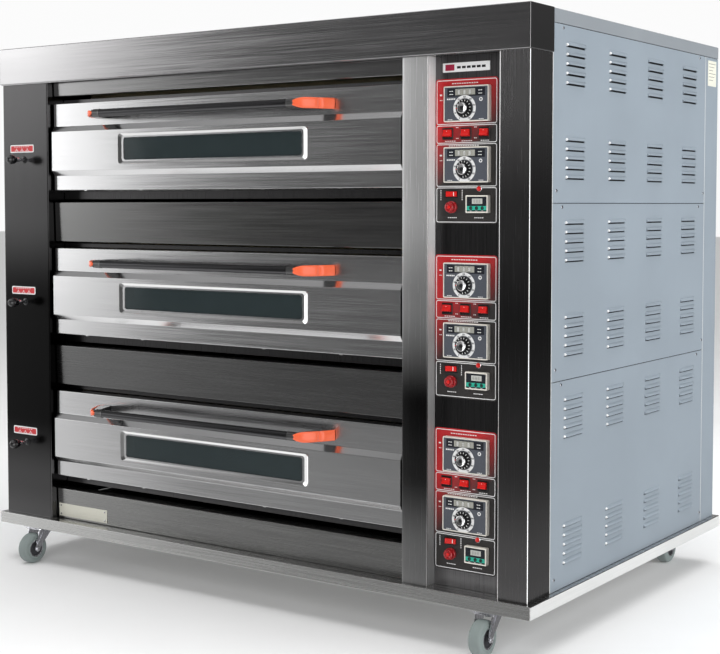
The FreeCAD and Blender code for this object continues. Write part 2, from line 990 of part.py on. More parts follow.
def key_points(deck, depth):
    centre = timer_left_x() + timer_width / 2
    height = overlay_top(deck) - timer_drop - key_drop
    return [place(centre + offset * key_pitch, depth, height) for offset in (-1, 0, 1)]


def timers():
    solids = []
    back = panel_depth - overlay_sheet
    face = instrument_face()
    for deck in range(len(DECKS)):
        solid = timer_block(deck, 0, face, back)
        solid = solid.fuse(timer_block(deck, timer_body_inset, back, back + timer_body_depth))
        for point in key_points(deck, face - cut_overrun):
            hole_length = key_length + 2 * cut_overrun
            solid = solid.cut(rod(key_radius + moving_clearance, hole_length, point, Y_AXIS))
        solids.append(solid)
    return group(solids)


def timer_keys(deck):
    front = instrument_face() - key_proud
    return group([rod(key_radius, key_length, point, Y_AXIS) for point in key_points(deck, front)])


def lamp_point(deck, depth):
    return place(bay_left + timer_inset, depth, overlay_top(deck) - lamp_drop)


def buzzer_point(deck, depth):
    return place(overlay_left + power_inset, depth, overlay_top(deck) - buzzer_drop)


def switch_housings():
    solids = []
    front = panel_depth - overlay_sheet
    for deck in range(len(DECKS)):
        for name, x, height, length, width, lies_down in switch_centres(deck):
            solids.append(switch_housing(x, height, length, width, lies_down))
        solids.append(rod(lamp_radius, lamp_proud, lamp_point(deck, front - lamp_proud), Y_AXIS))
        solids.append(rod(buzzer_radius, buzzer_proud, buzzer_point(deck, front - buzzer_proud), Y_AXIS))
    return group(solids)


def control_panels():
    plate = box(bay_left, bay_right, panel_depth, panel_depth + sheet, 0, canopy_bottom)
    overlays = []
    front = panel_depth - overlay_sheet
    for deck in range(len(DECKS)):
        top = overlay_top(deck)
        right = overlay_left + overlay_width
        overlay = box(overlay_left, right, front, panel_depth, top - overlay_height, top)
        back = panel_depth + sheet
        cutouts = [instrument_body(deck, which, cutout_clearance, 0, back) for which in instrument_drops]
        cutouts += [switch_cutout(*entry[1:]) for entry in switch_centres(deck)]
        cutouts.append(timer_block(deck, timer_body_inset - cutout_clearance, 0, back))
        for cutout in cutouts:
            overlay = overlay.cut(cutout)
            plate = plate.cut(cutout)
        overlays.append(overlay)
    return group([plate] + overlays)


def control_gear():
    """A contactor pair and a terminal block for each deck, on a back plate in the control compartment."""
    left = bay_left + gear_side_margin
    right = bay_right - gear_side_margin
    back = gear_depth
    solids = [box(left, right, back, back + sheet, first_door_height, canopy_bottom - top_strip_height)]
    for deck in range(len(DECKS)):
        middle = door_bottom(deck) + door_height / 2
        for index in (0, 1):
            x = left + gear_inset + index * contactor_pitch
            contactor = box(
                x, x + contactor_width, back - contactor_depth, back, middle, middle + contactor_height
            )
            solids.append(contactor)
        low = middle - terminal_drop
        ends = (left + gear_inset, right - gear_inset)
        solids.append(box(ends[0], ends[1], back - terminal_depth, back, low, low + terminal_height))
    return group(solids)


# Plates and screws


def nameplates():
    front = -plate_sheet
    solids = []
    for deck in range(len(DECKS)):
        right = recess_left - label_right_inset
        centre = door_bottom(deck) + label_rise
        low = centre - label_height / 2
        solids.append(box(right - label_width, right, front, 0, low, low + label_height))
    badge_top = canopy_bottom - badge_drop
    badge_left = bay_left + badge_inset
    badge_front = panel_depth - plate_sheet
    badge_right = badge_left + badge_width
    solids.append(
        box(badge_left, badge_right, badge_front, panel_depth, badge_top - badge_height, badge_top)
    )
    lean = (strip_front_bottom - strip_front_top) / (first_door_height - kick_strip_drop)
    outline = []
    for height in (kick_plate_rise, kick_plate_rise + kick_plate_height):
        outline.append((strip_front_bottom - lean * height, height))
    outline += [(point[0] - plate_sheet, point[1]) for point in reversed(outline)]
    solids.append(section_along_x(outline, recess_left, recess_left + kick_plate_width))
    plate_top = body_height - roof_edge_height - rear_plate_drop
    plate_low = plate_top - rear_plate_height
    rear_edge = body_depth - (rear_wrap_depth - rear_plate_width) / 2
    solids.append(
        box(side, side + plate_sheet, rear_edge - rear_plate_width, rear_edge, plate_low, plate_top)
    )
    return group(solids)


def panel_screws():
    """Pan-head screws at the corners of every side panel."""
    solids = []
    levels = panel_levels()
    front = front_wrap_depth
    rear = body_depth - rear_wrap_depth
    for bottom, top in zip(levels, levels[1:]):
        corners = []
        for insets, height in (
            (screw_top_insets, top - screw_top_drop), (screw_bottom_insets, bottom + screw_bottom_rise)
        ):
            corners += [(front + insets[0], height), (rear - insets[1], height)]
        for depth, height in corners:
            head = rod(screw_head_radius, screw_head_height, place(side, depth, height), X_AXIS)
            solids += [head, mirrored_x(head)]
    return group(solids)


# Casters


def caster_places():
    x = side - caster_inset_x
    front = caster_inset_y
    rear = body_depth + base_overhang - caster_inset_y - caster_plate_size / 2 - base_sheet
    return {
        "front_left": (-x, front), "front_right": (x, front), "rear_left": (-x, rear), "rear_right": (x, rear)
    }


def floor_point(x, depth, height):
    """The point at x, a depth behind the front plane and a height above the floor."""
    return Vector(x, front_y + depth, height)


def crown_bottom():
    return wheel_diameter + crown_to_wheel


def caster_plates():
    solids = []
    crown_top = crown_bottom() + crown_sheet
    half = caster_plate_size / 2
    for x, depth in caster_places().values():
        low = caster_height - caster_plate
        corner = floor_point(x - half, depth - half, low)
        plate = Part.makeBox(caster_plate_size, caster_plate_size, caster_plate, corner)
        race_start = floor_point(x, depth, crown_top + moving_clearance)
        race = rod(raceway_radius, raceway_height, race_start, Z_AXIS)
        pin_low = crown_bottom() - moving_clearance - kingpin_head
        pin = rod(kingpin_radius, low - pin_low, floor_point(x, depth, pin_low), Z_AXIS)
        head = rod(kingpin_radius * 1.5, kingpin_head, floor_point(x, depth, pin_low), Z_AXIS)
        solids.append(plate.fuse(race).fuse(pin).fuse(head))
    return group(solids)


def caster_fork(name):
    x, depth = caster_places()[name]
    inner = wheel_width / 2 + fork_gap
    outer = inner + fork_sheet
    crown_low = crown_bottom()
    crown_top = crown_low + crown_sheet
    axle_height = wheel_diameter / 2
    axle_depth = depth - caster_trail
    crown = Part.makeBox(
        2 * outer, 2 * raceway_radius, crown_sheet, floor_point(x - outer, depth - raceway_radius, crown_low)
    )
    bore = rod(kingpin_radius + fit_clearance, crown_sheet, floor_point(x, depth, crown_low), Z_AXIS)
    solid = crown.cut(bore)
    outline = [
        (depth - raceway_radius, crown_top),
        (axle_depth - axle_boss_radius, axle_height),
        (axle_depth + axle_boss_radius, axle_height),
        (depth + raceway_radius, crown_low - crown_sheet),
        (depth + raceway_radius, crown_top),
    ]
    for start in (x - outer, x + inner):
        travel = Vector(fork_sheet, 0, 0)
        leg = prism([floor_point(start, point[0], point[1]) for point in outline], travel)
        boss = rod(axle_boss_radius, fork_sheet, floor_point(start, axle_depth, axle_height), X_AXIS)
        solid = solid.fuse(leg).fuse(boss)
    axle_start = floor_point(x - outer - axle_overhang, axle_depth, axle_height)
    axle = rod(axle_radius, 2 * (outer + axle_overhang), axle_start, X_AXIS)
    return solid.fuse(axle)


def caster_wheel(name):
    x, depth = caster_places()[name]
    radius = wheel_diameter / 2
    hub_radius = radius - tyre_thickness
    centre = floor_point(x - wheel_width / 2, depth - caster_trail, radius)
    hub = ring(hub_radius, axle_radius + fit_clearance, wheel_width, centre, X_AXIS)
    tyre = rod(radius, wheel_width, centre, X_AXIS)
    tyre = tyre.makeFillet(wheel_width / 6, [tyre.Edges[0], tyre.Edges[2]])
    return group([hub, tyre.cut(rod(hub_radius, wheel_width, centre, X_AXIS))])


def all_nodes():
    nodes = {
        "base_frame": base_frame(),
        "canopy": canopy(),
        "front_fascia": front_fascia(),
        "side_panels": side_panels(),
        "rear_cover": rear_cover(),
        "roof_cover": roof_cover(),
        "oven_chambers": oven_chambers(),
        "hearth_stones": hearth_stones(),
        "heating_elements": heating_elements(),
        "insulation": insulation(),
        "control_panels": control_panels(),
        "control_gear": control_gear(),
        "temperature_controllers": temperature_controllers(),
        "timers": timers(),
        "switch_housings": switch_housings(),
        "hinge_brackets": hinge_brackets(),
        "caster_plates": caster_plates(),
        "panel_screws": panel_screws(),
        "nameplates": nameplates(),
    }
    for deck, name in enumerate(DECKS):
        nodes["door_panel_" + name] = door_panel(deck)
        nodes["door_window_" + name] = door_window(deck)
        nodes["door_handle_" + name] = door_handle(deck)
        nodes["damper_pull_" + name] = damper_pull(deck)
        nodes["timer_keys_" + name] = timer_keys(deck)
        for which in instrument_drops:
            nodes["dial_knob_" + name + "_" + which + "_heat"] = dial_knob(deck, which)
        for switch in switch_names + ["power"]:
            nodes["rocker_" + name + "_" + switch] = rocker(deck, switch)
    for name in caster_places():
        nodes["caster_fork_" + name] = caster_fork(name)
        nodes["caster_wheel_" + name] = caster_wheel(name)
    return nodes


os.makedirs("parts", exist_ok=True)
for node, shape in all_nodes().items():
    shape.exportStep("parts/" + node + ".step")
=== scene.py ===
import json
import math

import bmesh
import bpy
from mathutils import Matrix, Vector


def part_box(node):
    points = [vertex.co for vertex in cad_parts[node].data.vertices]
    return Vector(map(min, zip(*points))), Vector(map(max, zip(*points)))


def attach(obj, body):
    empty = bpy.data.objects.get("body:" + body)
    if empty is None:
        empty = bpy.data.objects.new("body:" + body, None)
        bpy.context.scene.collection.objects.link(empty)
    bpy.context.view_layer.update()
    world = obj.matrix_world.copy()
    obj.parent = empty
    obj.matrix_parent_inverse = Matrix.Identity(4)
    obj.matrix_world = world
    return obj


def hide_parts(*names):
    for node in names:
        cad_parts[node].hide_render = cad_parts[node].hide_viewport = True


# Looks of the three-deck bakery oven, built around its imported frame.
# Shapes are given in millimetres in the oven's front frame: x to the right, depth behind the front plane
# and height above the base top. Piece.finish turns them into metres in the part's own frame.

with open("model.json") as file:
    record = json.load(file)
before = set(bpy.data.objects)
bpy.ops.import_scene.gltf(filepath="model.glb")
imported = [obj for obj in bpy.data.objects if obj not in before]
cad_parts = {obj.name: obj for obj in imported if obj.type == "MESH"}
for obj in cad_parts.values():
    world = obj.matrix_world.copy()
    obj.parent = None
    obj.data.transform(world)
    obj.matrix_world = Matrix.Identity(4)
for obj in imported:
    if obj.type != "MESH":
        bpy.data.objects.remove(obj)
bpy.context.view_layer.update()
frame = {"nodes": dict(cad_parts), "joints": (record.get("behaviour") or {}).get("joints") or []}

MM = 0.001
FRONT_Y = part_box("front_fascia")[0].y
BASE_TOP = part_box("front_fascia")[0].z
DECKS = ("lower", "middle", "upper")
SHEET = 2.0
BEND = 3.0


def metres(point):
    """A point in the front frame, in millimetres, as metres in the part's frame."""
    return Vector((point[0] * MM, FRONT_Y + point[1] * MM, BASE_TOP + point[2] * MM))


def local(point):
    """A point in metres in the part's frame, as (x, depth, height) in millimetres."""
    return (point[0] / MM, (point[1] - FRONT_Y) / MM, (point[2] - BASE_TOP) / MM)


def span(node):
    """A CAD node's box in the front frame: x0, x1, depth0, depth1, height0, height1."""
    low, high = (local(corner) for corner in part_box(node))
    return low[0], high[0], low[1], high[1], low[2], high[2]


def solids_of(node):
    """The box of every separate solid in a CAD node, from left to right, then from the floor up."""
    mesh = bmesh.new()
    mesh.from_mesh(frame["nodes"][node].data)
    bmesh.ops.remove_doubles(mesh, verts=mesh.verts, dist=1e-6)
    unseen = set(mesh.verts)
    boxes = []
    while unseen:
        queue = [unseen.pop()]
        found = list(queue)
        while queue:
            for edge in queue.pop().link_edges:
                for vert in edge.verts:
                    if vert in unseen:
                        unseen.remove(vert)
                        queue.append(vert)
                        found.append(vert)
        points = [local(vert.co) for vert in found]
        boxes.append(tuple(f(p[axis] for p in points) for axis in range(3) for f in (min, max)))
    mesh.free()
    return sorted(boxes, key=lambda b: (round(b[0]), round(b[4])))


JOINT_POINTS = {joint["child"]: local(joint["pos_m"]) for joint in frame["joints"] if "pos_m" in joint}

# ---------------------------------------------------------------- mesh building


def rounded(points, radius, steps=4, closed=False):
    """A polyline in a plane with each inner corner turned into an arc."""
    count = len(points)
    out = []
    for index, point in enumerate(points):
        if not closed and index in (0, count - 1):
            out.append(tuple(point))
            continue
        before = Vector(points[index - 1]) - Vector(point)
        after = Vector(points[(index + 1) % count]) - Vector(point)
        turn = before.angle(after)
        if turn > math.pi - 0.01:
            out.append(tuple(point))
            continue
        reach = radius / math.tan(turn / 2)
        reach = min(reach, before.length * 0.49, after.length * 0.49)
        small = reach * math.tan(turn / 2)
        middle = (before.normalized() + after.normalized()).normalized()
        centre = Vector(point) + middle * (small / math.sin(turn / 2))
        start = Vector(point) + before.normalized() * reach - centre
        end = Vector(point) + after.normalized() * reach - centre
        sweep = start.angle_signed(end)
        for step in range(steps + 1):
            out.append(tuple(centre + Matrix.Rotation(-sweep * step / steps, 2) @ start))
    return out


def thick(points, thickness):
    """A closed outline: an open polyline and its copy, moved by the thickness to its left."""
    moved = []
    for index, point in enumerate(points):
        before = Vector(points[max(index - 1, 0)])
        after = Vector(points[min(index + 1, len(points) - 1)])
        along = after - before
        side = Vector((-along.y, along.x)).normalized()
        if 0 < index < len(points) - 1:
            first = (Vector(point) - before).normalized()
            second = (after - Vector(point)).normalized()
            cosine = max(0.3, math.cos(first.angle(second) / 2))
            side = side / cosine
        moved.append(tuple(Vector(point) + side * thickness))
    return list(points) + moved[::-1]


def ring_points(centre, radius, axis, count=32, squash=1.0):
    """A circle about an axis through the centre. squash scales it along height."""
    cx, cd, ch = centre
    loop = []
    for index in range(count):
        turn = 2 * math.pi * index / count
        u = radius * math.cos(turn)
        v = radius * math.sin(turn)
        if axis == "d":
            loop.append((cx + u, cd, ch + v * squash))
        elif axis == "x":
            loop.append((cx, cd + u, ch + v * squash))
        else:
            loop.append((cx + u, cd + v, ch))
    return loop


def rounded_rectangle(x0, x1, h0, h1, radius, depth, steps=5):
    corners = rounded([(x0, h0), (x1, h0), (x1, h1), (x0, h1)], radius, steps, closed=True)
    return [(x, depth, h) for x, h in corners]


def weight_normals(obj):
    """Keeps large flat faces flat beside their rounded edges."""
    normals = obj.modifiers.new("normals", "WEIGHTED_NORMAL")
    normals.weight = 100
    normals.keep_sharp = True


class Piece:
    """One object's mesh, gathered shape by shape in millimetres."""

    def __init__(self, name, *materials):
        self.name = name
        self.materials = materials
        self.mesh = bmesh.new()

    def _faces(self, loops, material, caps):
        rows = [[self.mesh.verts.new(point) for point in loop] for loop in loops]
        count = len(rows[0])
        made = []
        for first, second in zip(rows, rows[1:]):
            for index in range(count):
                following = (index + 1) % count
                made.append(
                    self.mesh.faces.new((first[index], first[following], second[following], second[index]))
                )
        if caps[0]:
            made.append(self.mesh.faces.new(rows[0][::-1]))
        if caps[1]:
            made.append(self.mesh.faces.new(rows[-1]))
        for face in made:
            face.material_index = material
        return made

    def stack(self, loops, material=0, caps=(True, True)):
        """Skins closed loops of equal length, one after the other."""
        return self._faces(loops, material, caps)

    def lathe(self, centre, profile, axis="d", material=0, count=40, caps=(True, True)):
        """Turns (radius, distance along the axis) pairs about the axis."""
        place = {"x": 0, "d": 1, "h": 2}[axis]
        loops = []
        for radius, distance in profile:
            middle = list(centre)
            middle[place] += distance
            loops.append(ring_points(middle, radius, axis, count))
        return self.stack(loops, material, caps)

    def run(self, outline, plane, start, end, material=0):
        """Sweeps a closed outline straight along the axis that its plane leaves free."""
        if plane == "dh":
            loops = [[(at, a, b) for a, b in outline] for at in (start, end)]
        elif plane == "xd":
            loops = [[(a, b, at) for a, b in outline] for at in (start, end)]
        else:
            loops = [[(a, at, b) for a, b in outline] for at in (start, end)]
        return self.stack(loops, material)

    def block(self, x0, x1, d0, d1, h0, h1, radius=0.8, material=0, steps=2):
        """A block with softened edges."""
        cube = bmesh.ops.create_cube(self.mesh, size=1.0)
        verts = cube["verts"]
        for vert in verts:
            vert.co = (
                x0 if vert.co.x < 0 else x1,
                d0 if vert.co.y < 0 else d1,
                h0 if vert.co.z < 0 else h1,
            )
        edges = list({edge for vert in verts for edge in vert.link_edges})
        faces = list({face for vert in verts for face in vert.link_faces})
        for face in faces:
            face.material_index = material
        if radius > 0:
            smallest = min(x1 - x0, d1 - d0, h1 - h0)
            bmesh.ops.bevel(
                self.mesh, geom=edges, offset=min(radius, smallest * 0.45), segments=steps,
                profile=0.5, affect="EDGES", material=-1,
            )

    def nest(self, box, rows, material=0, caps=(True, True)):
        """Skins rounded rectangles set in a box. rows are (inset, corner radius, depth)."""
        x0, x1, h0, h1 = box
        loops = [rounded_rectangle(x0 + i, x1 - i, h0 + i, h1 - i, r, d) for i, r, d in rows]
        return self.stack(loops, material, caps)

    def patch(self, x0, x1, h0, h1, radius, back, front, material=0):
        """A thin rounded plate or print, from its back depth to its front depth."""
        return self.nest((x0, x1, h0, h1), [(0.0, radius, back), (0.0, radius, front)], material)

    def tube(self, path, radius, material=0, count=24, caps=(True, True)):
        """A round tube through points, with one radius or one for each point."""
        points = [Vector(point) for point in path]
        radii = radius if isinstance(radius, (list, tuple)) else [radius] * len(points)
        loops = []
        up = Vector((0, 0, 1))
        for index, point in enumerate(points):
            before = points[max(index - 1, 0)]
            after = points[min(index + 1, len(points) - 1)]
            along = (after - before).normalized()
            if abs(along.z) > 0.95:
                up = Vector((0, 1, 0))
            side = along.cross(up).normalized()
            over = side.cross(along)
            loop = []
            for step in range(count):
                turn = 2 * math.pi * step / count
                loop.append(point + (side * math.cos(turn) + over * math.sin(turn)) * radii[index])
            loops.append([tuple(p) for p in loop])
        return self.stack(loops, material, caps)

    def finish(self, body, *replaced, slot=None, sharp=35):
        """Makes the object, turns it to metres, and puts it on its body."""
        bmesh.ops.recalc_face_normals(self.mesh, faces=self.mesh.faces)
        for vert in self.mesh.verts:
            vert.co = metres(vert.co)
        data = bpy.data.meshes.new(self.name)
        for face in self.mesh.faces:
            face.smooth = True
        self.mesh.to_mesh(data)
        self.mesh.free()
        data.set_sharp_from_angle(angle=math.radians(sharp))
        for made in self.materials:
            data.materials.append(made)
        obj = bpy.data.objects.new(self.name, data)
        bpy.context.scene.collection.objects.link(obj)
        weight_normals(obj)
        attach(obj, body)
        if replaced:
            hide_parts(*replaced)
        return obj


# ---------------------------------------------------------------- materials


def new_material(name, color, roughness, metallic=0.0, **sockets):
    made = bpy.data.materials.new(name)
    made.use_nodes = True
    shader = made.node_tree.nodes["Principled BSDF"]
    shader.inputs["Base Color"].default_value = (*color, 1.0)
    shader.inputs["Roughness"].default_value = roughness
    shader.inputs["Metallic"].default_value = metallic
    for socket, value in sockets.items():
        shader.inputs[socket.replace("_", " ")].default_value = value
    return made


def add_node(tree, kind, inputs=None, **props):
    """A node in a node tree, with its properties set and its inputs set or linked."""
    node = tree.nodes.new(kind)
    for key, value in props.items():
        setattr(node, key, value)
    for key, value in (inputs or {}).items():
        if isinstance(value, bpy.types.NodeSocket):
            tree.links.new(value, node.inputs[key])
        else:
            node.inputs[key].default_value = value
    return node


class Graph:
    """Small helper that adds and links nodes in a material."""

    def __init__(self, made):
        self.tree = made.node_tree
        self.shader = self.tree.nodes["Principled BSDF"]

    def add(self, kind, inputs=None, **props):
        return add_node(self.tree, kind, inputs, **props)

    def position(self, scale, turn=(0, 0, 0)):
        place = self.add("ShaderNodeTexCoord")
        mapped = self.add(
            "ShaderNodeMapping", {"Vector": place.outputs["Object"], "Scale": scale, "Rotation": turn},
        )
        return mapped.outputs["Vector"]

    def noise(self, vector, scale=1.0, detail=3.0, rough=0.5):
        return self.add(
            "ShaderNodeTexNoise", {"Vector": vector, "Scale": scale, "Detail": detail, "Roughness": rough}
        ).outputs["Fac"]

    def spread(self, value, low, high, from_low=0.3, from_high=0.7):
        return self.add(
            "ShaderNodeMapRange",
            {"Value": value, "From Min": from_low, "From Max": from_high, "To Min": low, "To Max": high},
        ).outputs["Result"]

    def math(self, operation, first, second=0.0):
        return self.add("ShaderNodeMath", {0: first, 1: second}, operation=operation).outputs[0]

    def blend(self, factor, first, second, mode="MIX"):
        mix = self.add("ShaderNodeMix", data_type="RGBA", blend_type=mode)
        for index, value in ((0, factor), (6, first), (7, second)):
            if isinstance(value, bpy.types.NodeSocket):
                self.tree.links.new(value, mix.inputs[index])
            elif index:
                mix.inputs[index].default_value = (*value, 1.0)
            else:
                mix.inputs[index].default_value = value
        return mix.outputs[2]

    def bump(self, height, strength, distance):
        made = self.add("ShaderNodeBump", {"Height": height, "Strength": strength, "Distance": distance})
        self.tree.links.new(made.outputs["Normal"], self.shader.inputs["Normal"])

    def to(self, socket, value):
        self.tree.links.new(value, self.shader.inputs[socket])


GRAIN = {"x": (4, 700, 700), "z": (700, 700, 4), "y": (700, 4, 700)}


def brushed(name, color, roughness, grain="x", shade=0.10, wear=0.05, bump=0.05, fade=None):
    """Brushed sheet metal: long fine grain in colour, roughness and relief, with large soft stains.

    fade is (height in metres, tone) pairs that lighten or darken the base colour from the floor up: painted
    reflection and painted shade that stand in for the bands of light the sheet mirrors.
    """
    made = new_material(name, color, roughness, 1.0)
    graph = Graph(made)
    fine = graph.noise(graph.position(GRAIN[grain]), 1.0, 4.0, 0.6)
    cloud = graph.noise(graph.position((2.1, 2.1, 2.6)), 1.0, 2.0, 0.5)
    tone = graph.spread(fine, 1 - shade, 1 + shade)
    stain = graph.spread(cloud, 1 - wear, 1 + wear)
    level = graph.math("MULTIPLY", tone, stain)
    # The height fade paints reflection and shade into the base colour.
    if fade:
        place = graph.add("ShaderNodeTexCoord")
        split = graph.add("ShaderNodeSeparateXYZ", {"Vector": place.outputs["Object"]})
        top = fade[-1][0]
        ramp = graph.add("ShaderNodeValToRGB", {"Fac": graph.math("DIVIDE", split.outputs["Z"], top)})
        ramp.color_ramp.interpolation = "EASE"
        stops = ramp.color_ramp.elements
        while len(stops) < len(fade):
            stops.new(0.5)
        for stop, (height, value) in zip(stops, fade):
            stop.position = height / top
            stop.color = (value, value, value, 1.0)
        level = graph.math("MULTIPLY", level, ramp.outputs["Color"])
    graph.to("Base Color", graph.blend(1.0, color, level, "MULTIPLY"))
    graph.to("Roughness", graph.spread(fine, roughness - 0.05, roughness + 0.07))
    graph.bump(fine, bump, 0.0002)
    return made


def painted(name, color, roughness, speck=0.04, grit=0.06, scale=900.0, **sockets):
    """Satin paint or powder coat: faint orange peel, slight colour drift and dust."""
    made = new_material(name, color, roughness, **sockets)
    graph = Graph(made)
    peel = graph.noise(graph.position((scale, scale, scale)), 1.0, 2.0, 0.5)
    cloud = graph.noise(graph.position((3.1, 2.7, 2.9)), 1.0, 3.0, 0.55)
    dark = tuple(c * (1 - speck) for c in color)
    light = tuple(min(1.0, c * (1 + speck)) for c in color)
    graph.to("Base Color", graph.blend(graph.spread(cloud, 0.0, 1.0), dark, light))
    graph.to("Roughness", graph.spread(peel, roughness - 0.05, roughness + 0.06))
    graph.bump(peel, grit, 0.0003)
    return made


def moulded(name, color, roughness, grain=0.05, scale=1400.0, **sockets):
    """Moulded plastic or rubber with a fine grain and slight wear."""
    return painted(name, color, roughness, 0.06, grain, scale, **sockets)


def overlay_print(name):
    """Printed foil: red at the upper left, fading to black to the right and downwards."""
    made = new_material(name, (0.3, 0.01, 0.01), 0.32, Coat_Weight=0.3, Coat_Roughness=0.15)
    graph = Graph(made)
    place = graph.add("ShaderNodeTexCoord")
    split = graph.add("ShaderNodeSeparateXYZ", {"Vector": place.outputs["Generated"]})
    down = graph.math("MULTIPLY", graph.math("SUBTRACT", 1.0, split.outputs["Z"]), 1.1)
    across = graph.math("MULTIPLY", split.outputs["X"], 0.52)
    fade = graph.spread(graph.math("ADD", down, across), 0.0, 1.0, 0.42, 0.86)
    fine = graph.noise(graph.position((1600, 1600, 1600)), 1.0, 2.0)
    red = graph.blend(graph.spread(fine, 0.0, 1.0), (0.50, 0.013, 0.018), (0.58, 0.020, 0.024))
    graph.to("Base Color", graph.blend(fade, red, (0.034, 0.031, 0.030)))
    graph.to("Roughness", graph.spread(fine, 0.26, 0.36))
    graph.bump(fine, 0.04, 0.0002)
    return made


def stone_material(name):
    made = new_material(name, (0.45, 0.39, 0.31), 0.85)
    graph = Graph(made)
    coarse = graph.noise(graph.position((60, 60, 60)), 1.0, 6.0, 0.7)
    graph.to("Base Color", graph.blend(graph.spread(coarse, 0, 1), (0.36, 0.30, 0.24), (0.55, 0.48, 0.38)))
    graph.bump(coarse, 0.5, 0.002)
    return made


def glass_material(name, color, roughness=0.03):
    """Tinted tempered glass, with a faint film of grease that softens its gloss."""
    made = new_material(name, color, roughness, Transmission_Weight=0.55, IOR=1.46)
    graph = Graph(made)
    film = graph.noise(graph.position((35, 35, 35)), 1.0, 4.0, 0.6)
    graph.to("Roughness", graph.spread(film, roughness, roughness + 0.06))
    dark = tuple(c * 0.85 for c in color)
    graph.to("Base Color", graph.blend(graph.spread(film, 0.0, 1.0), dark, color))
    return made
